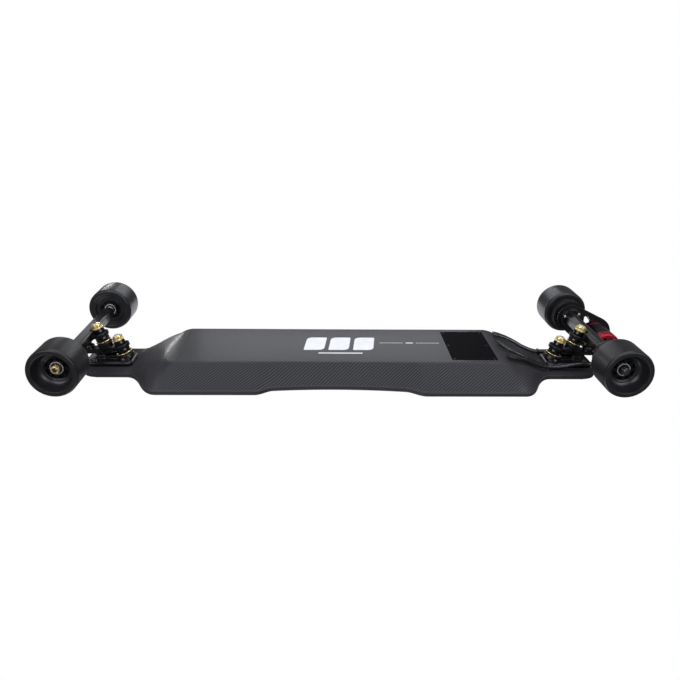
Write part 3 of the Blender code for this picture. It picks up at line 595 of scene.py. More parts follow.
def deck_outline(margin, end):
    """(x, y) points round the deck's top, a margin inside its edge."""
    near = []
    corner = end - TIP_RADIUS
    half_line = spread(0.0, 0.100, 6) + spread(0.102, 0.156, 14) + spread(0.195, 0.310, 3)
    half_line += spread(0.314, 0.384, 18) + spread(0.400, 0.440, 3)
    half_line = [x for x in half_line if x < corner - 0.001]
    half_line += [corner + TIP_RADIUS * math.sin(a) for a in spread(0, math.pi / 2, 14)]
    for x in [-x for x in reversed(half_line[1:])] + half_line:
        near.append((x, -(rounded_end(deck_half(x), x, end, TIP_RADIUS) - margin)))
    return near + [(x, -y) for x, y in reversed(near)]


def drill(place, radius, low, high, segments=48):
    bm = turned([(0, low), (radius, low), (radius, high), (0, high)], segments)
    return moved(bm, place_at(*place, 0))


def cavity_section(x):
    """The hollow in the deck, for the battery and the controller."""
    share = slope_share(x)
    half = deck_half(x)
    under_lid = abs(x) < 0.2865
    opening = half - 0.0200
    roof = DECK_TOP + 0.0100 if under_lid else DECK_TOP - 0.0036
    bottom = min(blended(PANEL_HALF, 0.0550, share), half - 0.0080) - 0.0025
    floor = blended(PANEL_Z, RIM_LOW, share) + WALL
    right = [(opening, roof), (opening, DECK_TOP - 0.0045), (half - 0.0085, RIM_LOW - 0.0005),
             (bottom, floor)]
    return [(x, y, z) for y, z in right] + [(x, -y, z) for y, z in reversed(right)]


def build_deck():
    outer = loft([deck_section(x, inset) for x, inset in deck_stations()])
    places = [-0.331, -0.300, -0.287, -0.286] + spread(-0.280, 0.280, 40) + [0.286, 0.287, 0.310, 0.331]
    cavity = loft([cavity_section(x) for x in places])
    recess = prism(deck_outline(0.0140, 0.2960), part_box("deck_lid")[0].z - GAP, DECK_TOP + 0.005)
    esc_centre = ((PLATE_LOW.x + PLATE_HIGH.x) / 2 - SHIFT, (PLATE_LOW.y + PLATE_HIGH.y) / 2)
    esc_half = ((PLATE_HIGH.x - PLATE_LOW.x) / 2 + GAP, (PLATE_HIGH.y - PLATE_LOW.y) / 2 + GAP)
    pocket = prism(rounded_rectangle(esc_centre, esc_half, 0.003), PANEL_Z - 0.005, PANEL_Z + 0.0015)
    window = prism(rounded_rectangle(esc_centre, [size - 0.008 for size in esc_half], 0.003),
                   PANEL_Z - 0.005, PANEL_Z + 0.006)
    holes = [drill(place, radius, 0.0985, 0.110)
             for place, radius in ((BUTTON_PLACE, 0.0080), (PORT_PLACE, 0.0093))]
    body = cut(outer, cavity, recess, pocket, window, *holes)
    piece(body, "carbon_deck", "carbon", "deck", "deck_body", 30)

    tape = prism(deck_outline(0.0028, DECK_END - 0.0025), GRIP_LOW, GRIP_TOP)
    tape = cut(tape, drill(BUTTON_PLACE, 0.0087, 0.100, 0.112), drill(PORT_PLACE, 0.0118, 0.100, 0.112))
    piece(tape, "grip_sheet", "grip", "deck", "grip_tape", 30)

    plate = prism(rounded_rectangle(esc_centre, [size - GAP for size in esc_half], 0.0028),
                  PANEL_Z, PANEL_Z + 0.0012)
    plate = softened(plate, 0.0004)
    block = prism(rounded_rectangle(esc_centre, [size - 0.0083 for size in esc_half], 0.003),
                  PANEL_Z + 0.0010, PANEL_Z + 0.0045)
    seats, screws = [], []
    for sx in (-1, 1):
        for sy in (-1, 0, 1):
            spot = (esc_centre[0] + sx * (esc_half[0] - 0.0055),
                    esc_centre[1] + sy * (esc_half[1] - 0.0055))
            seats.append(drill(spot, 0.0021, PANEL_Z - 0.002, PANEL_Z + 0.0005, 24))
            screws.append(cap_screw(0.0019, 0.0007, place_at(*spot, PANEL_Z + 0.0005), True))
    plate = joined(cut(plate, *seats), block)
    piece(plate, "cooling_plate", "plate", "deck", "esc_heat_sink")
    piece(joined(*screws), "cooling_plate_screws", "truck", "deck")


def build_graphic():
    """Plain pale bars on the bottom panel."""
    low, high = PANEL_Z - 0.00006, PANEL_Z + 0.0004
    shapes = []
    for i in range(3):
        x = 0.0475 - 0.0450 * i
        shapes.append([(x - 0.0215, 0.0335, 0.003), (x + 0.0155, 0.0335, 0.012),
                       (x + 0.0215, -0.0250, 0.003), (x - 0.0155, -0.0250, 0.012)])
    for x, y, half, thick in ((0.0020, -0.0390, 0.0400, 0.0020), (-0.0940, 0.0083, 0.0220, 0.0006),
                              (-0.1620, 0.0083, 0.0220, 0.0006), (-0.1280, 0.0083, 0.0070, 0.0018)):
        shapes.append([(x - half, y - thick, thick), (x + half, y - thick, thick),
                       (x + half, y + thick, thick), (x - half, y + thick, thick)])
    bars = joined(*[prism(rounded_path(shape, 5), low, high) for shape in shapes])
    piece(bars, "panel_bars", "print", "deck")


def cap_screw(radius, height, matrix, down=False):
    """A round screw head with a hexagon socket, standing on the local origin."""
    profile = rounded_path([(0, 0), (radius, 0), (radius, height, radius * 0.25), (0, height)], 3)
    head = turned(profile, 24)
    socket = moved(hex_nut(radius * 0.9, height, 0.00001, 0.00001, 24),
                   place_at(0, 0, height * 0.45))
    head = cut(head, socket)
    if down:
        bmesh.ops.scale(head, verts=head.verts, vec=(1, 1, -1))
    return moved(head, matrix)


def countersunk(place, radius=0.0042):
    """A flat screw head in the deck's top, with a cross-shaped recess."""
    low = GRIP_TOP - 0.0006
    head = lathe([(0, low), (radius * 0.92, low), (radius, GRIP_TOP + 0.0001, 0.0002),
                  (0, GRIP_TOP + 0.0001)], 2, 32)
    arms = [prism([(x * c - y * s, x * s + y * c) for x, y in
                   ((-0.0022, -0.0005), (0.0022, -0.0005), (0.0022, 0.0005), (-0.0022, 0.0005))],
                  GRIP_TOP - 0.0004, GRIP_TOP + 0.001)
            for c, s in ((1, 0), (0, 1))]
    arms = [moved(arm, place_at(0, 0, 0.00005 * i)) for i, arm in enumerate(arms)]
    return moved(cut(head, *arms), place_at(*place, 0))


def build_controls():
    lip = GRIP_TOP + 0.0005
    button = rounded_path([(0, 0.0965), (0.0077, 0.0965, 0.0005), (0.0077, lip, 0.0006), (0.0050, lip),
                           (0.0046, lip - 0.0004), (0, lip - 0.0005)], 3)
    place = place_at(*BUTTON_PLACE, 0)
    piece(turned(button, 64), "button_dome", "plastic", "power_button",
          "power_button", move=place)
    ring = [(0.00085, 0.0), (0.00125, 0.0), (0.00125, 0.00025), (0.00085, 0.00025)]
    marks = turned([(0.0030 + r, lip - 0.0005 + z) for r, z in ring], 48)
    piece(marks, "button_ring", "print", "power_button", move=place)

    place = place_at(*PORT_PLACE, 0)
    port = rounded_path([(0, 0.0870), (0.0090, 0.0870, 0.0005), (0.0090, GRIP_LOW), (0.0112, GRIP_LOW),
                         (0.0112, lip, 0.0004), (0.0055, lip, 0.0004), (0.0055, 0.0950), (0, 0.0950)], 3)
    pins = []
    for i in range(3):
        angle = math.tau * i / 3 + 0.5
        spot = place_at(0.0026 * math.cos(angle), 0.0026 * math.sin(angle), 0)
        pin = rounded_path([(0, 0.0948), (0.0006, 0.0948), (0.0006, 0.1005, 0.0004), (0, 0.1005)], 2)
        pins.append(moved(turned(pin, 16), spot))
    piece(turned(port, 64), "charge_socket", "plate", "deck", "charge_port", move=place)
    piece(joined(*pins), "charge_pins", "gold", "deck", move=place)
    face = lip + GAP
    cap = rounded_path([(0, 0.1042), (0.0042, 0.1042, 0.0006), (0.0048, 0.1058), (0.0048, face),
                        (0.0108, face, 0.0003), (0.0108, face + 0.0026, 0.0011), (0, face + 0.0026)], 4)
    strap = prism(rounded_rectangle((-0.0105, 0), (0.0020, 0.0030), 0.0008, 4),
                  face + 0.0004, face + 0.0016)
    lift = prism(rounded_rectangle((0.0095, 0), (0.0012, 0.0035), 0.0010, 4),
                 face + 0.0008, face + 0.0020)
    whole = joined(turned(cap, 64), softened(strap, 0.0003), softened(lift, 0.0003))
    piece(whole, "charge_cap_cover", "rubber", "charge_cap", "charge_cap", move=place)
    foot = prism(rounded_rectangle((-0.0156, 0), (0.0020, 0.0030), 0.0008, 4), GRIP_TOP, face + 0.0008)
    piece(softened(foot, 0.0004), "charge_cap_foot", "rubber", "deck", move=place)

    heads = []
    for end in (-1, 1):
        heads += [countersunk((end * BASE_MIDDLE + x, y)) for x, y in BASE_BOLTS]
    piece(joined(*heads), "deck_bolts", "steel", "deck")


# ---------------------------------------------------------------- trucks
def from_seat(seat, outwards, down):
    """(x, z) of a point beside a kingpin: outwards across it, and down along it from its seat."""
    sine, cosine = math.sin(KINGPIN_TILT), math.cos(KINGPIN_TILT)
    return (seat[0] + outwards * cosine + down * sine, seat[1] + outwards * sine - down * cosine)


def pointing(start, heading):
    """The matrix that takes local +Z to an (x, z) heading from an (x, z) start, in the middle plane."""
    turn = Matrix.Rotation(math.atan2(heading[0], heading[1]), 4, "Y")
    return place_at(start[0], 0, start[1]) @ turn


def down_kingpin(seat):
    return pointing(seat, (math.sin(KINGPIN_TILT), -math.cos(KINGPIN_TILT)))


def towards(start, stop):
    return pointing(start, (stop[0] - start[0], stop[1] - start[1]))


def at_end(end):
    """The front truck's shapes as they are, or turned to face backwards at the rear."""
    return Matrix.Diagonal((end, 1, 1, 1))


def threaded(radius, low, high, pitch=0.0010):
    """Profile points up a thread, as rings of its pitch."""
    points = []
    steps = int((high - low) / pitch)
    for i in range(steps):
        z = low + pitch * i
        points += [(radius, z + pitch * 0.15), (radius - pitch * 0.35, z + pitch * 0.6)]
    return points + [(radius - pitch * 0.4, high)]


def build_kingpin(name, end, which, seat, body, head):
    """The pin, cup washer, two bushings, small washer and lock nut on one kingpin."""
    frame_of = at_end(end) @ down_kingpin(seat)
    bore = KINGPIN_RADIUS + GAP
    pin = [(0, -0.0060), (KINGPIN_RADIUS, -0.0060), (KINGPIN_RADIUS, 0.0270)]
    pin += threaded(KINGPIN_RADIUS - 0.0001, 0.0280, 0.0378) + [(0.0030, 0.0385), (0, 0.0385)]
    pin = turned(pin, 40)
    if head:
        bolt_head = moved(hex_nut(0.0166, 0.0045, 0.00001), place_at(0, 0, -0.0125))
        pin = joined(pin, bolt_head)
    piece(pin, f"{name}_{which}_bolt", "steel", body, f"{name}_{which}_kingpin", move=frame_of)

    wide = 0.0150 if which == "inner" else 0.0140
    cup = rounded_path([(bore, 0.0001), (wide - 0.0030, 0.0001, 0.0008), (wide, 0.0028, 0.0003),
                        (wide - 0.0008, 0.0036, 0.0003), (wide - 0.0036, 0.0014, 0.0008),
                        (bore, 0.0014)], 3)
    piece(turned(cup, 72), f"{name}_{which}_cup", "gold", body,
          f"{name}_{which}_cup_washer", move=frame_of)

    board_side = [(bore, 0.0023), (0.0112, 0.0023, 0.0008), (0.0128, 0.0070, 0.0030),
                  (0.0116, 0.0117, 0.0008), (bore, 0.0117)]
    road_side = [(bore, 0.0193), (0.0105, 0.0193, 0.0008), (0.0103, 0.0225, 0.0015),
                 (0.0090, 0.0275, 0.0008), (bore, 0.0275)]
    owner, ring = ("deck", f"{name}_yoke") if which == "inner" else (f"{name}_yoke", f"{name}_hanger")
    for part, profile, bodies, ends in (("board", board_side, (owner, ring), (0.0026, 0.0114)),
                                        ("road", road_side, (ring, owner), (0.0196, 0.0272))):
        bushing = piece(lathe(profile, 6, 72), f"{name}_{which}_bushing_{part}", "bushing",
                        None, f"{name}_{which}_bushings" if part == "board" else (),
                        move=frame_of)
        bent(bushing, *bodies, *[tuple(frame_of @ Vector((0, 0, z))) for z in ends])

    small = rounded_path([(bore, 0.0277), (0.0103, 0.0277, 0.0003), (0.0103, 0.0292, 0.0003),
                          (bore, 0.0292)], 3)
    nut = moved(hex_nut(0.0164, 0.0062, bore), place_at(0, 0, 0.0293))
    collar = rounded_path([(bore, 0.0352), (0.0069, 0.0352), (0.0069, 0.0372, 0.0009),
                           (bore, 0.0372)], 4)
    nut = joined(turned(small, 72), nut, turned(collar, 48))
    piece(nut, f"{name}_{which}_lock_nut", "gold", body,
          f"{name}_{which}_kingpin_nut", move=frame_of)
    insert = rounded_path([(KINGPIN_RADIUS + 0.0001, 0.0362), (0.0060, 0.0362),
                           (0.0060, 0.0375, 0.0004), (KINGPIN_RADIUS + 0.0001, 0.0375)], 3)
    piece(turned(insert, 48), f"{name}_{which}_nut_insert", "nylon", body, move=frame_of)


def ring_disc(seat, radius, half=0.0034):
    low, high = RING_MIDDLE - half, RING_MIDDLE + half
    return moved(lathe([(0, low), (radius, low, 0.0008), (radius, high, 0.0008),
                        (0, high)], 3, 64), down_kingpin(seat))


def ring_hole(seat):
    return moved(turned([(0, 0.0095), (0.0070, 0.0095), (0.0070, 0.0215), (0, 0.0215)], 48),
                 down_kingpin(seat))


def ball(centre, stem, length, heading):
    """A round-ended pivot pin whose stem runs against the heading."""
    radius = 0.0068
    join = math.sqrt(radius * radius - stem * stem)
    profile = [(0, -length), (stem, -length), (stem, -join)]
    profile += [(radius * math.cos(a), radius * math.sin(a))
                for a in spread(math.asin(-join / radius) + 0.05, math.pi / 2 - 0.05, 10)]
    return moved(turned(profile + [(0, radius)], 48), towards(centre, heading))


def socket(centre, depth, mouth, heading):
    seat = 0.0080
    profile = [(0, -depth), (mouth, -depth), (seat, 0)]
    profile += [(seat * math.cos(a), seat * math.sin(a)) for a in spread(0.1, math.pi / 2 - 0.1, 7)]
    return moved(turned(profile + [(0, seat)], 48), towards(centre, heading))


def beyond(start, stop):
    """A point further along the line from start through stop."""
    return (2 * stop[0] - start[0], 2 * stop[1] - start[1])


def build_baseplate(name, end):
    place = at_end(end)
    middle = (BASE_MIDDLE, 0)
    plate = prism(rounded_rectangle(middle, (0.0430, 0.0270), 0.0100), 0.0915, RIM_LOW - GAP)
    rim = prism(rounded_rectangle(middle, (0.0405, 0.0245), 0.0085), 0.0900, 0.0940)
    boss = moved(turned([(0, -0.0090), (0.0165, -0.0090), (0.0152, -GAP), (0, -GAP)], 64),
                 down_kingpin(INNER_SEAT))
    cup = moved(turned([(0, 0.0827), (0.0110, 0.0827), (0.0125, 0.0915), (0, 0.0915)], 64),
                place_at(0.4410, 0, 0))
    ribs = [slab([(0.4020, 0.0930), (0.4100, 0.0835), (0.4330, 0.0850), (0.4330, 0.0930)], y, y + 0.0030)
            for y in (-0.0095, 0.0065)]
    whole = cast(joined(plate, rim, boss, cup, *ribs), 0.0008, 4)
    ring = from_seat(INNER_SEAT, 0, RING_MIDDLE)
    bore = KINGPIN_RADIUS + GAP
    pocket = moved(turned([(0, -0.0240), (0.0101, -0.0240), (0.0101, -0.0082), (bore, -0.0082),
                           (bore, 0.0020), (0, 0.0020)], 48), down_kingpin(INNER_SEAT))
    whole = cut(whole, socket(YOKE_BALL, 0.0200, 0.0105, beyond(ring, YOKE_BALL)), pocket)
    piece(whole, f"{name}_base", "truck", "deck", f"{name}_baseplate", move=place)

    nuts = []
    for x, y in BASE_BOLTS:
        spot = place_at(BASE_MIDDLE + x, y, 0.0900) @ Matrix.Rotation(math.pi, 4, "X")
        washer = turned([(0.0027, 0.0), (0.0048, 0.0), (0.0048, 0.0008), (0.0027, 0.0008)], 32)
        nut = moved(hex_nut(0.0080, 0.0040, 0.0026, 0.0004, 36), place_at(0, 0, 0.0008))
        bolt = turned([(0, 0.0)] + threaded(0.0025, 0.0002, 0.0062, 0.0008) + [(0, 0.0064)], 20)
        nuts.append(moved(joined(washer, nut, bolt), spot))
    piece(joined(*nuts), f"{name}_base_nuts", "dark_steel", "deck", move=place)

    aim = towards(YOKE_BALL, beyond(ring, YOKE_BALL))
    liner = [(0.0070, 0.0010), (0.0078, 0.0010), (0.0078, -0.0030), (0.0070, -0.0030)]
    piece(turned(liner, 48), f"{name}_base_pivot_cup", "rubber", "deck",
          move=place @ aim)


def build_yoke(name, end):
    place = at_end(end)
    spine = [from_seat(INNER_SEAT, 0.0095, 0.0128), (0.4240, 0.0790), (0.4700, 0.0805),
             (0.4735, 0.0760), (0.4700, 0.0715), (0.4400, 0.0715), (0.4300, 0.0640),
             from_seat(INNER_SEAT, 0.0095, 0.0182)]
    parts = [slab(spine, -0.0100, 0.0100), ring_disc(INNER_SEAT, 0.0155)]
    boss = rounded_path([(0, -0.0135), (0.0125, -0.0135), (0.0140, -0.0030, 0.001),
                         (0.0140, -GAP), (0, -GAP)], 3)
    parts.append(moved(turned(boss, 64), down_kingpin(OUTER_SEAT)))
    parts.append(moved(turned([(0, 0.0665), (0.0105, 0.0665), (0.0105, 0.0800), (0, 0.0800)], 64),
                       place_at(HANGER_BALL[0], 0, 0)))
    centre = from_seat(INNER_SEAT, 0, RING_MIDDLE)
    parts.append(ball(YOKE_BALL, 0.0050, 0.0170, beyond(centre, YOKE_BALL)))
    whole = cast(joined(*parts), 0.0007, 4)
    bore = KINGPIN_RADIUS + GAP
    hole = moved(turned([(0, -0.0170), (bore, -0.0170), (bore, 0.0020), (0, 0.0020)], 40),
                 down_kingpin(OUTER_SEAT))
    whole = cut(whole, ring_hole(INNER_SEAT), hole,
                socket(HANGER_BALL, 0.0120, 0.0090, beyond(NOSE_FOOT, HANGER_BALL)))
    piece(whole, f"{name}_yoke_forging", "truck", f"{name}_yoke", f"{name}_yoke",
          move=place)


def build_hanger(name, end, bar_end, stub_radius, stub_end):
    place = at_end(end)
    view = [(0.4470, 0.0345), (0.4500, 0.0325), (0.4660, 0.0325), (0.4685, 0.0350),
            (0.4685, 0.0480), (0.4660, 0.0505), (0.4500, 0.0505), (0.4470, 0.0480)]
    bar = slab(view, -bar_end, bar_end)
    axle = place_at(AXLE_X, 0, AXLE_Z) @ Matrix.Rotation(-math.pi / 2, 4, "X")
    stub = moved(turned([(0, -stub_end), (stub_radius, -stub_end), (stub_radius, stub_end),
                         (0, stub_end)], 64), axle)
    nose = ball(HANGER_BALL, 0.0052, 0.0240, beyond(NOSE_FOOT, HANGER_BALL))
    web = slab([(0.4490, 0.0440), (0.4475, 0.0500), (0.4560, 0.0560), (0.4660, 0.0520), (0.4660, 0.0440)],
               -0.0170, 0.0170)
    whole = cast(joined(bar, ring_disc(OUTER_SEAT, 0.0148), stub, nose, web), 0.0009, 3)
    notch = [from_seat(OUTER_SEAT, -0.0200, 0.0190), from_seat(OUTER_SEAT, 0.0130, 0.0190),
             (0.4537, 0.0440), (0.4537, 0.0200), (0.4200, 0.0200)]
    room = slab(notch, -0.0160, 0.0160)
    above = [from_seat(OUTER_SEAT, -0.0200, 0.0121), from_seat(OUTER_SEAT, 0.0145, 0.0121),
             from_seat(OUTER_SEAT, 0.0145, 0.0000), from_seat(OUTER_SEAT, -0.0200, 0.0000)]
    bore = AXLE_RADIUS + GAP
    drilled = moved(turned([(0, -0.15), (bore, -0.15), (bore, 0.15), (0, 0.15)], 32), axle)
    whole = cut(whole, ring_hole(OUTER_SEAT), room, slab(above, -0.0160, 0.0160), drilled)
    piece(whole, f"{name}_hanger_casting", "truck", f"{name}_hanger", f"{name}_hanger",
          move=place)

    nut_low, nut_high = WHEEL_MID + 0.0078, WHEEL_MID + 0.0144
    tip = nut_high + 0.0014
    rod = [(0, -tip), (AXLE_RADIUS - 0.0006, -tip), (AXLE_RADIUS, -tip + 0.0006)]
    rod += [(AXLE_RADIUS, tip - 0.0006), (AXLE_RADIUS - 0.0006, tip), (0, tip)]
    metal = "gold" if end > 0 else "dark_steel"
    nuts = []
    for side in (-1, 1):
        flip = Matrix.Diagonal((1, 1, side, 1))
        nut = moved(hex_nut(0.0130, nut_high - nut_low, AXLE_RADIUS), place_at(0, 0, nut_low))
        collar = rounded_path([(AXLE_RADIUS, nut_high - 0.0010), (0.0056, nut_high - 0.0010),
                               (0.0056, nut_high + 0.0009, 0.0006), (AXLE_RADIUS, nut_high + 0.0009)], 3)
        washer = [(AXLE_RADIUS, nut_low - 0.0006), (0.0066, nut_low - 0.0006),
                  (0.0066, nut_low - 0.0001), (AXLE_RADIUS, nut_low - 0.0001)]
        nuts.append(moved(joined(nut, turned(collar, 40), turned(washer, 40)), flip))
    piece(turned(rod, 32), f"{name}_axle_rod", "dark_steel", f"{name}_hanger", f"{name}_axle",
          move=place @ axle)
    piece(joined(*nuts), f"{name}_axle_nuts", metal, f"{name}_hanger", move=place @ axle)


def build_truck(name, end):
    build_baseplate(name, end)
    build_kingpin(name, end, "inner", INNER_SEAT, "deck", True)
    build_yoke(name, end)
    build_kingpin(name, end, "outer", OUTER_SEAT, f"{name}_yoke", False)
    if end > 0:
        build_hanger(name, end, 0.1040, 0.0080, 0.1120)
    else:
        build_hanger(name, end, 0.0780, 0.0120, 0.0945)


# ---------------------------------------------------------------- wheels
def outwards(side):
    """Turns local +Z to point out from the board, along +Y or -Y."""
    return Matrix.Rotation(-side * math.pi / 2, 4, "X")


def build_wheel(name, end, side):
    """Heights in the profiles run outwards from the wheel's middle."""
    place = place_at(end * AXLE_X, side * WHEEL_MID, AXLE_Z) @ outwards(side)
    body = f"{name}_wheel"
    half, tread = WHEEL_HALF, WHEEL_RADIUS
    tyre = [(0.0203, -0.0243), (0.0203, 0.0067), (0.0212, 0.0074, 0.0006), (0.0240, 0.0078, 0.0020),
            (0.0276, 0.0110, 0.0040), (0.0302, 0.0170, 0.0050), (0.0318, 0.0240, 0.0040),
            (0.0328, half - 0.0004, 0.0007), (0.0396, half, 0.0014), (tread, half - 0.0036, 0.0022),
            (tread, 0.0, 0), (tread, -half + 0.0040, 0.0024), (0.0392, -half, 0.0016),
            (0.0330, -half, 0.0004), (0.0322, -half + 0.0008, 0.0004), (0.0280, -half + 0.0008, 0.0008),
            (0.0262, -0.0243, 0.0008)]
    piece(lathe(tyre, 5, 128), f"{name}_tread", "urethane", body,
          f"{name}_tyre", 50, place)

    seat = BEARING_RADIUS + 0.0002
    core = [(seat, -0.0253), (seat, -0.0174), (0.0080, -0.0174), (0.0080, -0.0002), (seat, -0.0002),
            (seat, 0.0078, 0.0003), (0.0124, 0.0078, 0.0004), (0.0128, 0.0068, 0.0004),
            (0.0188, 0.0068, 0.0006), (0.0200, 0.0075, 0.0004), (0.0200, -0.0253, 0.0004),
            (0.0185, -0.0253, 0.0006), (0.0180, -0.0240, 0.0004), (0.0132, -0.0240, 0.0004),
            (0.0126, -0.0253, 0.0004)]
    hub = lathe(core, 3, 96)
    pockets = []
    for i in range(8):
        angle = math.tau * (i + 0.5) / 8
        spoke = math.radians(15)
        outline = circle((0, 0), 0.0178, angle - spoke, angle + spoke, 6)
        outline += circle((0, 0), 0.0138, angle + spoke, angle - spoke, 6)
        for low, high in ((0.0030, 0.0120), (-0.0300, -0.0200)):
            pockets.append(prism(outline, low, high))
    hub = cut(hub, joined(*pockets))
    piece(hub, f"{name}_hub", "core", body, f"{name}_wheel_core", 35, place)

    bore = AXLE_RADIUS + 0.0002
    rings, seals = [], []
    for low, high in ((0.0001, 0.0072), (-0.0250, -0.0178)):
        outer = [(0.0093, low, 0.0003), (BEARING_RADIUS, low, 0.0004), (BEARING_RADIUS, high, 0.0004),
                 (0.0093, high, 0.0003)]
        inner = [(bore, low), (0.0062, low, 0.0003), (0.0062, high, 0.0003), (bore, high, 0.0002)]
        rings += [lathe(outer, 2, 64), lathe(inner, 2, 48)]
        seals.append(turned([(0.0060, low + 0.0004), (0.0095, low + 0.0004), (0.0095, high - 0.0004),
                             (0.0060, high - 0.0004)], 48))
    spacer = turned([(bore, -0.0179), (0.0058, -0.0179), (0.0058, 0.0002), (bore, 0.0002)], 32)
    piece(joined(*rings, spacer), f"{name}_races", "steel", body, f"{name}_bearings", 35, place)
    piece(joined(*seals), f"{name}_bearing_seals", "rubber", body, (), 35, place)


# ---------------------------------------------------------------- drive
def toothed(centre, tip, depth, teeth, phase, widen=0.0):
    """(x, z) points round a pulley with round grooves. A groove's middle lies at the phase."""
    points = []
    for i in range(teeth):
        middle = phase + math.tau * i / teeth
        reach = (0.00155 + widen) / tip
        half_pitch = math.pi / teeth
        points.append((middle - half_pitch, tip))
        points.append((middle - reach - 0.0003 / tip, tip))
        for k in range(1, 6):
            share = -math.cos(math.pi * k / 6)
            points.append((middle + reach * share, tip - depth * math.sqrt(1 - share * share)))
        points.append((middle + reach + 0.0003 / tip, tip))
    return [(centre[0] + r * math.cos(a), centre[1] + r * math.sin(a)) for a, r in points]


def wrap_angles():
    """The direction from the wheel pulley to the motor's, how far each wrap ends from it, and the
    distance between the two."""
    line = Vector((MOTOR_AXIS.x + AXLE_X, MOTOR_AXIS.z - AXLE_Z))
    return math.atan2(line.y, line.x), math.acos((WHEEL_PITCH - MOTOR_PITCH) / line.length), line.length


def belt_path(count):
    """Evenly spaced (x, z, outward x, outward z) places along the belt's pitch line. The first is on
    the wheel pulley, straight across from the motor."""
    heading, tilt, length = wrap_angles()
    wheel, motor = Vector((-AXLE_X, AXLE_Z)), Vector((MOTOR_AXIS.x, MOTOR_AXIS.z))
    straight = length * math.sin(tilt)
    runs = [("arc", wheel, WHEEL_PITCH, heading + math.pi, heading + math.tau - tilt),
            ("line", wheel, WHEEL_PITCH, motor, MOTOR_PITCH, heading - tilt),
            ("arc", motor, MOTOR_PITCH, heading - tilt, heading + tilt),
            ("line", motor, MOTOR_PITCH, wheel, WHEEL_PITCH, heading + tilt),
            ("arc", wheel, WHEEL_PITCH, heading + tilt, heading + math.pi)]
    lengths = [run[2] * (run[4] - run[3]) if run[0] == "arc" else straight for run in runs]
    total = sum(lengths)
    places = []
    for i in range(count):
        along = total * i / count
        for run, size in zip(runs, lengths):
            if along <= size or run is runs[-1]:
                break
            along -= size
        share = along / size
        if run[0] == "arc":
            angle = blended(run[3], run[4], share)
            out = Vector((math.cos(angle), math.sin(angle)))
            at = run[1] + out * run[2]
        else:
            out = Vector((math.cos(run[5]), math.sin(run[5])))
            at = (run[1] + out * run[2]).lerp(run[3] + out * run[4], share)
        places.append((at.x, at.y, out.x, out.y))
    return places


def build_belt(name, side):
    teeth, each = 51, 10
    places = belt_path(teeth * each)
    inner, outer = [], []
    for i, (x, z, ox, oz) in enumerate(places):
        from_middle = min(i % each, each - i % each) / (each / 2)
        tooth = math.sqrt(max(1 - (from_middle / 0.56) ** 2, 0)) * 0.0016
        low, high = -0.0001 - tooth, 0.0016
        inner.append((x + ox * low, z + oz * low))
        outer.append((x + ox * high, z + oz * high))
    near, far = sorted((side * 0.0990, side * 0.1130))
    bm = bmesh.new()
    rings = []
    for points, y in ((inner, near), (outer, near), (outer, far), (inner, far)):
        rings.append([bm.verts.new((x, y, z)) for x, z in points])
    count = len(inner)
    for first, second in zip(rings, rings[1:] + rings[:1]):
        for i in range(count):
            j = (i + 1) % count
            bm.faces.new((first[i], first[j], second[j], second[i]))
    piece(bm, f"{name}_toothed_belt", "rubber", "rear_hanger", f"{name}_belt", 40)


def build_pulleys(name, side):
    heading = wrap_angles()[0]
    wheel, motor = (-AXLE_X, AXLE_Z), (MOTOR_AXIS.x, MOTOR_AXIS.z)
    place = place_at(-AXLE_X, 0, AXLE_Z) @ outwards(side)
    low, high = sorted((side * 0.0981, side * 0.1139))
    rim = slab(toothed(wheel, WHEEL_TEETH_RADIUS, 0.0021, WHEEL_TEETH, heading + math.pi), low, high)
    discs = []
    for y in (0.0967, 0.1137):
        discs.append(lathe([(0.0090, y), (0.0305, y, 0.0005), (0.0305, y + 0.0016, 0.0005),
                            (0.0090, y + 0.0016)], 3, 96))
    step = lathe([(0.0090, 0.1150), (0.0190, 0.1150), (0.0190, 0.1202, 0.0005),
                  (0.0090, 0.1202)], 3, 64)
    whole = joined(rim, moved(joined(*discs, step), place))
    piece(whole, f"{name}_wheel_sprocket", "plastic", f"rear_{name}_wheel",
          f"{name}_wheel_pulley", 35)

    place = place_at(MOTOR_AXIS.x, 0, MOTOR_AXIS.z) @ outwards(side)
    rim = slab(toothed(motor, MOTOR_TEETH_RADIUS, 0.0021, MOTOR_TEETH, heading + math.pi), low, high)
    discs = [lathe([(0.0029, y), (0.0140, y, 0.0004), (0.0140, y + 0.0014, 0.0004),
                    (0.0124, y + 0.0014), (0.0120, y + 0.0008), (0.0064, y + 0.0008),
                    (0.0060, y + 0.0014), (0.0029, y + 0.0014)], 3, 64)
             for y in (0.0968, 0.1138)]
    whole = joined(rim, moved(joined(*discs), place))
    piece(whole, f"{name}_motor_sprocket", "pinion", f"{name}_motor_rotor",
          f"{name}_motor_pulley", 35)


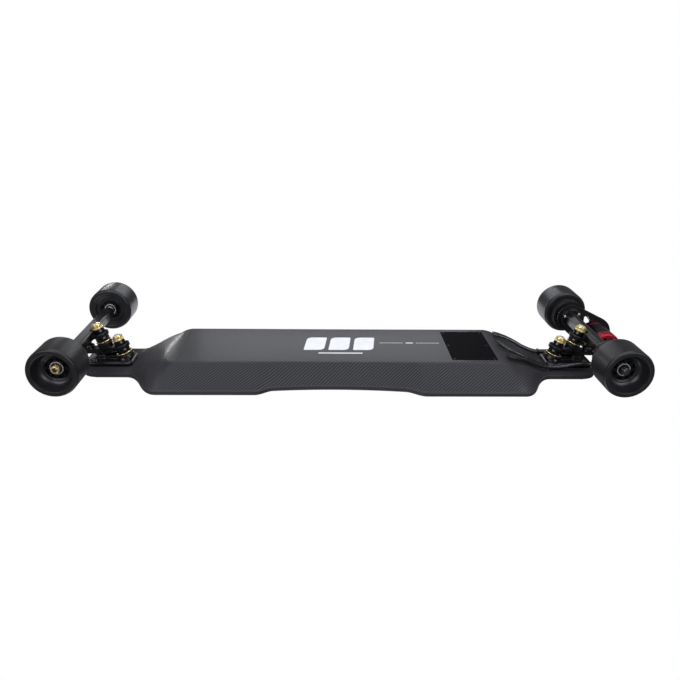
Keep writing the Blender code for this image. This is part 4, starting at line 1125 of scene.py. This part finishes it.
def build_mount(name, side):
    heading = wrap_angles()[0]
    axle, motor = Vector((-AXLE_X, AXLE_Z)), Vector((MOTOR_AXIS.x, MOTOR_AXIS.z))
    axle_end, motor_end = 0.0260, 0.0340
    tilt = math.acos((axle_end - motor_end) / (motor - axle).length)
    outline = circle(motor, motor_end, heading - tilt, heading + tilt, 32)
    outline += circle(axle, axle_end, heading + tilt, heading + math.tau - tilt, 32)
    low, high = sorted((side * 0.0885, side * 0.0940))
    plate = softened(slab(outline, low, high), 0.0006)
    place = place_at(-AXLE_X, 0, AXLE_Z) @ outwards(side)
    at_motor = place_at(MOTOR_AXIS.x, 0, MOTOR_AXIS.z) @ outwards(side)
    window = [(-0.4870, 0.0395), (-0.4935, 0.0385), (-0.5000, 0.0475), (-0.5000, 0.0560),
              (-0.4930, 0.0600), (-0.4870, 0.0560)]
    window = rounded_path([(*point, 0.0016) for point in window], 4)
    holes = [slab(window, *sorted((side * 0.080, side * 0.100))),
             moved(turned([(0, 0.070), (0.0123, 0.070), (0.0123, 0.110), (0, 0.110)], 48), place),
             moved(turned([(0, 0.070), (0.0062, 0.070), (0.0062, 0.110), (0, 0.110)], 48), at_motor)]
    plate = cut(plate, *holes)
    clamp = rounded_path([(0.0123, 0.0800), (0.0193, 0.0800, 0.0008), (0.0198, 0.0892),
                          (0.0123, 0.0892)], 3)
    clamp = turned(clamp, 64)
    split = prism([(0.0100, -0.0007), (0.0260, -0.0007), (0.0260, 0.0007), (0.0100, 0.0007)],
                  0.0780, 0.0883)
    clamp = moved(cut(clamp, moved(split, Matrix.Rotation(1.1, 4, "Z"))), place)
    piece(joined(plate, clamp), f"{name}_mount_plate", "truck", "rear_hanger",
          f"{name}_motor_mount", 35)

    screws = []
    for i in range(3):
        angle = math.radians(-20 - 120 * i)
        spot = place_at(-AXLE_X + 0.0158 * math.cos(angle), side * 0.0801,
                        AXLE_Z + 0.0158 * math.sin(angle))
        screws.append(cap_screw(0.0024, 0.0016, spot @ outwards(-side)))
    for i in range(4):
        angle = math.radians(45 + 90 * i)
        spot = place_at(MOTOR_AXIS.x + 0.0095 * math.cos(angle), side * 0.0939,
                        MOTOR_AXIS.z + 0.0095 * math.sin(angle))
        screws.append(cap_screw(0.0025, 0.0018, spot @ outwards(side)))
    piece(joined(*screws), f"{name}_mount_screws", "steel", "rear_hanger", (), 35)


def build_motor(name, side):
    """An outrunner: the can and its red bell turn round the fixed windings."""
    place = place_at(MOTOR_AXIS.x, 0, MOTOR_AXIS.z) @ outwards(side)
    body = f"{name}_motor_rotor"
    shell = MOTOR_RADIUS
    bell = [(0.0026, 0.0222), (0.0085, 0.0220, 0.0008), (0.0095, 0.0236, 0.0008),
            (0.0185, 0.0236, 0.0008), (0.0195, 0.0222, 0.0006), (0.0232, 0.0220, 0.0012),
            (shell, 0.0246, 0.0014), (shell, 0.0400, 0.0004), (0.0222, 0.0400),
            (0.0222, 0.0290, 0.0020), (0.0090, 0.0290, 0.0020), (0.0090, 0.0420), (0.0026, 0.0420)]
    bell = lathe(bell, 4, 128)
    slots = []
    for i in range(8):
        angle = math.tau * (i + 0.5) / 8
        turn = Matrix.Rotation(angle, 4, "Z")
        slot = prism(rounded_rectangle((0.0240, 0), (0.0060, 0.0044), 0.0006, 3), 0.0330, 0.0362)
        slots.append(moved(slot, turn))
        hole = prism(rounded_rectangle((0.0140, 0), (0.0034, 0.0030), 0.0026, 5), 0.0150, 0.0320)
        slots.append(moved(hole, turn))
    bell = cut(bell, joined(*slots))
    piece(bell, f"{name}_motor_bell", "red", body, f"{name}_motor_rotor", 35, place)

    can = rounded_path([(0.0215, 0.0400), (shell - 0.0001, 0.0400, 0.0003),
                        (shell - 0.0001, 0.0825, 0.0006), (0.0215, 0.0825)], 3)
    piece(turned(can, 128), f"{name}_motor_can", "can", body, (), 35, place)
    shaft = rounded_path([(0, 0.0214), (0.0025, 0.0214, 0.0004), (0.0025, 0.1160, 0.0004),
                          (0, 0.1160)], 3)
    clip = turned([(0.0025, 0.0212), (0.0042, 0.0212), (0.0042, 0.0220), (0.0025, 0.0220)], 32)
    piece(joined(turned(shaft, 32), clip), f"{name}_motor_shaft", "steel", body, (), 35,
          place)

    base = [(0.0030, 0.0840), (0.0195, 0.0840, 0.0006), (0.0202, 0.0829, 0.0004),
            (shell - 0.0006, 0.0829, 0.0004), (shell, 0.0834, 0.0004), (shell, 0.0876, 0.0006),
            (shell - 0.0008, 0.0882, 0.0004), (0.0030, 0.0882)]
    piece(lathe(base, 3, 128), f"{name}_motor_base", "dark_red", "rear_hanger",
          f"{name}_motor_stator", 35, place)
    core = [turned([(0.0030, 0.0450), (0.0110, 0.0450), (0.0110, 0.0845), (0.0030, 0.0845)], 48)]
    coils = []
    for i in range(12):
        turn = Matrix.Rotation(math.tau * i / 12, 4, "Z")
        core.append(moved(prism([(0.0105, -0.0010), (0.0180, -0.0010), (0.0184, -0.0044),
                                 (0.0197, -0.0042), (0.0197, 0.0042), (0.0184, 0.0044),
                                 (0.0180, 0.0010), (0.0105, 0.0010)], 0.0490, 0.0780), turn))
        coil = softened(prism(rounded_rectangle((0.0148, 0), (0.0030, 0.0028), 0.0010, 2),
                              0.0468, 0.0802), 0.0012, 2)
        coils.append(moved(coil, turn))
    piece(joined(*core), f"{name}_motor_stack", "plate", "rear_hanger", (), 35, place)
    piece(joined(*coils), f"{name}_motor_coils", "copper", "rear_hanger", (), 35, place)


# ---------------------------------------------------------------- cables
def smooth_route(route, each=8):
    """A smooth curve through the route's points."""
    points = [Vector(p) for p in route]
    smooth = []
    for i in range(len(points) - 1):
        before, after = points[max(i - 1, 0)], points[min(i + 2, len(points) - 1)]
        here, there = points[i], points[i + 1]
        for k in range(each):
            t = k / each
            smooth.append(0.5 * (2 * here + (there - before) * t
                                 + (2 * before - 5 * here + 4 * there - after) * t * t
                                 + (3 * here - before - 3 * there + after) * t * t * t))
    smooth.append(points[-1])
    return smooth


def sleeve(points, radius, seed, mouth=1.0, flatten=0.82, wrinkle=0.16, sides=28):
    """A shrunk sleeve along a curve: slightly flat, creased across and along, and wider by the mouth
    factor where it starts."""
    bm = bmesh.new()
    rings = []
    side = Vector((0, 1, 0))
    for i, here in enumerate(points):
        ahead = (points[min(i + 1, len(points) - 1)] - points[max(i - 1, 0)]).normalized()
        side = (side - ahead * side.dot(ahead)).normalized()
        across = ahead.cross(side)
        wide = blended(mouth, 1.0, ease(i / len(points), 0.0, 0.35))
        ring = []
        for k in range(sides):
            angle = math.tau * k / sides
            out = side * math.cos(angle) * wide + across * math.sin(angle) * flatten
            spot = here + out * radius
            fold = noise.noise(Vector((spot.x * 90 + seed, spot.y * 220, spot.z * 220)))
            ridge = abs(noise.noise(Vector((spot.x * 260, seed, angle * 0.8))))
            crease = wrinkle * wide * (0.5 * abs(fold) + 0.6 * ridge)
            ring.append(bm.verts.new(here + out * radius * (1 - crease)))
        rings.append(ring)
    for near, far in zip(rings, rings[1:]):
        for k in range(sides):
            j = (k + 1) % sides
            bm.faces.new((near[k], near[j], far[j], far[k]))
    bm.faces.new(rings[0])
    bm.faces.new(rings[-1])
    return bm


def bent(obj, first, second, start, end):
    """Bakes a piece's placement into its mesh, in the board's frame."""
    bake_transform(obj)


def build_cable(name, route, seed):
    points = smooth_route(route)
    split = next(i for i, p in enumerate(points) if p.x < -0.4400)
    side = 1 if route[0][1] > 0 else -1
    tie = lathe([(0.0036, -0.0016), (0.0053, -0.0016, 0.0006), (0.0053, 0.0016, 0.0006),
                 (0.0036, 0.0016)], 3, 32)
    catch = softened(prism(rounded_rectangle((-0.0062, 0.0), (0.0016, 0.0026), 0.0006, 3),
                           -0.0024, 0.0024), 0.0004)
    held = place_at(-0.3830, side * 0.0362, 0.0918) @ Matrix.Rotation(math.pi / 2, 4, "Y")
    whole = joined(sleeve(points[:split + 2], CABLE_RADIUS, seed, 1.8), moved(joined(tie, catch), held))
    near = piece(whole, f"{name}_cable_front", "sleeve", None, f"{name}_motor_cable", 60)
    bent(near, "deck", "rear_yoke", (-0.3950, side * 0.036, 0.0920), (-0.4380, side * 0.036, 0.0920))
    far = piece(sleeve(points[split - 1:], CABLE_RADIUS, seed + 1), f"{name}_cable_rear", "sleeve", None,
                (), 60)
    bent(far, "rear_yoke", "rear_hanger",
         (-0.4500, side * 0.036, 0.0860), (-0.4790, side * 0.074, 0.0800))


# Each cable leaves the rear slope, passes beside the baseplate, and goes on to its motor.
LEFT_ROUTE = [(-0.2960, 0.0490, 0.0602), (-0.3130, 0.0480, 0.0650), (-0.3320, 0.0440, 0.0726),
              (-0.3530, 0.0395, 0.0836), (-0.3760, 0.0365, 0.0916), (-0.4020, 0.0350, 0.0925),
              (-0.4300, 0.0350, 0.0878), (-0.4540, 0.0375, 0.0848), (-0.4690, 0.0490, 0.0812),
              (-0.4765, 0.0640, 0.0800), (-0.4798, 0.0770, 0.0797), (-0.4802, 0.0880, 0.0800)]
RIGHT_ROUTE = [(-0.2960, -0.0570, 0.0600), (-0.3130, -0.0545, 0.0650), (-0.3320, -0.0480, 0.0726),
               (-0.3530, -0.0410, 0.0836), (-0.3760, -0.0370, 0.0910)]
RIGHT_ROUTE += [(x, -y, z) for x, y, z in LEFT_ROUTE[5:]]
SENSOR_ROUTE = [(-0.2950, 0.0080, 0.0590), (-0.3020, -0.0080, 0.0622), (-0.3120, -0.0200, 0.0656),
                (-0.3280, -0.0250, 0.0716), (-0.3460, -0.0250, 0.0808), (-0.3620, -0.0220, 0.0888),
                (-0.3780, -0.0190, 0.0935)]


def build_cables():
    build_cable("left", LEFT_ROUTE, 3.0)
    build_cable("right", RIGHT_ROUTE, 11.0)
    sensor = sleeve(smooth_route(SENSOR_ROUTE), SENSOR_RADIUS, 19.0, 1.7)
    piece(sensor, "sensor_cable_sleeve", "sleeve", "deck", "sensor_cable", 60)


# ---------------------------------------------------------------- inside the deck
def repaint(node, mat):
    obj = frame["nodes"][node]
    obj.data.materials.clear()
    obj.data.materials.append(MATERIALS[mat])


# ---------------------------------------------------------------- studio
def area_light(name, place, target, size, power, tint=(1, 1, 1)):
    light = bpy.data.lights.new(name, "AREA")
    light.shape = "RECTANGLE"
    light.size, light.size_y = size
    light.energy = power
    light.color = tint
    obj = bpy.data.objects.new(name, light)
    obj.location = place
    obj.rotation_euler = (Vector(target) - Vector(place)).to_track_quat("-Z", "Y").to_euler()
    obj.visible_camera = False
    bpy.context.scene.collection.objects.link(obj)
    return obj


def build_floor():
    """A pale floor that shows from above and lets the camera below look through it."""
    bm = bmesh.new()
    bmesh.ops.create_grid(bm, x_segments=1, y_segments=1, size=6)
    mesh = bpy.data.meshes.new("floor")
    bm.to_mesh(mesh)
    bm.free()
    obj = bpy.data.objects.new("floor", mesh)
    bpy.context.scene.collection.objects.link(obj)
    n = Nodes("floor")
    n.set(base_color=n.mix(n.noise(3.0), (0.30, 0.30, 0.30), (0.34, 0.34, 0.34)), roughness=0.7,
          specular=0.2, emission_color=(1, 1, 1, 1), emission_strength=0.62)
    clear = n.add("ShaderNodeBsdfTransparent")
    shared = n.add("ShaderNodeMixShader")
    n.put(shared.inputs[0], n.add("ShaderNodeNewGeometry").outputs["Backfacing"])
    n.put(shared.inputs[1], n.shader.outputs[0])
    n.put(shared.inputs[2], clear.outputs[0])
    n.put(n.tree.nodes["Material Output"].inputs["Surface"], shared.outputs[0])
    mesh.materials.append(n.material)
    obj.visible_shadow = False
    obj.visible_diffuse = False
    obj.visible_glossy = False


def build_lights():
    """Large lamps, mostly below the board, where the camera looks from."""
    cool, middle = (0.93, 0.95, 1.0), (0, 0, 0.06)
    area_light("under_key", (0.0, 0.40, -1.60), middle, (2.4, 0.8), 18, cool)
    for end, x in (("rear", -1), ("front", 1)):
        area_light(f"low_key_{end}", (x * 1.20, -1.35, -1.05), (x * 0.45, 0, 0.04), (1.7, 1.3), 28, cool)
    area_light("top_key", (0.4, -0.5, 1.7), middle, (1.5, 1.5), 20)
    area_light("back_strip", (0.0, 1.70, -0.70), middle, (1.3, 0.4), 4.5, cool)
    area_light("back_edge", (0.0, 1.80, 0.75), middle, (3.0, 0.7), 9, cool)
    area_light("streak", (1.03, 1.5, -0.21), (0.33, 0, 0.06), (0.30, 0.06), 1.5)


def build_world():
    """White behind the object, and a dim even light on it."""
    world = bpy.data.worlds.new("studio")
    bpy.context.scene.world = world
    world.use_nodes = True
    nodes, links = world.node_tree.nodes, world.node_tree.links
    seen = nodes["Background"]
    seen.inputs["Color"].default_value = (1, 1, 1, 1)
    seen.inputs["Strength"].default_value = 1.0
    lit = nodes.new("ShaderNodeBackground")
    lit.inputs["Color"].default_value = (1, 1, 1, 1)
    lit.inputs["Strength"].default_value = 0.16
    path = nodes.new("ShaderNodeLightPath")
    shared = nodes.new("ShaderNodeMixShader")
    links.new(path.outputs["Is Camera Ray"], shared.inputs[0])
    links.new(lit.outputs[0], shared.inputs[1])
    links.new(seen.outputs[0], shared.inputs[2])
    links.new(shared.outputs[0], nodes["World Output"].inputs["Surface"])


def build_camera():
    """Level with the deck's edge, looking up at the underside, with the board's top downwards."""
    data = bpy.data.cameras.new("camera")
    data.lens = 33.152
    data.sensor_width = 36
    data.clip_start = 0.01
    obj = bpy.data.objects.new("camera", data)
    bpy.context.scene.collection.objects.link(obj)
    pitch, yaw, roll = math.radians(22.803), math.radians(1.694), math.radians(0.885)
    ahead = Vector((math.sin(yaw) * math.cos(pitch), math.cos(yaw) * math.cos(pitch), -math.sin(pitch)))
    right = Vector((math.cos(yaw), -math.sin(yaw), 0))
    up = right.cross(ahead)
    level, upright = right, up
    right = level * math.cos(roll) + upright * math.sin(roll)
    up = upright * math.cos(roll) - level * math.sin(roll)
    turned_over = Matrix.Rotation(math.pi, 3, "Y")
    columns = Matrix((turned_over @ right, turned_over @ up, turned_over @ -ahead)).transposed()
    obj.matrix_world = place_at(0.0338 + SHIFT, -1.0683, -0.3944) @ columns.to_4x4()
    bpy.context.scene.camera = obj


# ---------------------------------------------------------------- assembly
build_camera()
build_deck()
build_graphic()
build_controls()
for truck, direction in (("front", 1), ("rear", -1)):
    build_truck(truck, direction)
    for hand, way in (("left", 1), ("right", -1)):
        build_wheel(f"{truck}_{hand}", direction, way)
for hand, way in (("left", 1), ("right", -1)):
    build_mount(hand, way)
    build_motor(hand, way)
    build_pulleys(hand, way)
    build_belt(hand, way)
build_cables()
for node, mat in (("deck_lid", "carbon"), ("battery_pack", "wrap"), ("motor_controller", "plastic")):
    repaint(node, mat)

build_floor()
build_world()
build_lights()
bpy.context.scene.view_settings.view_transform = "Standard"
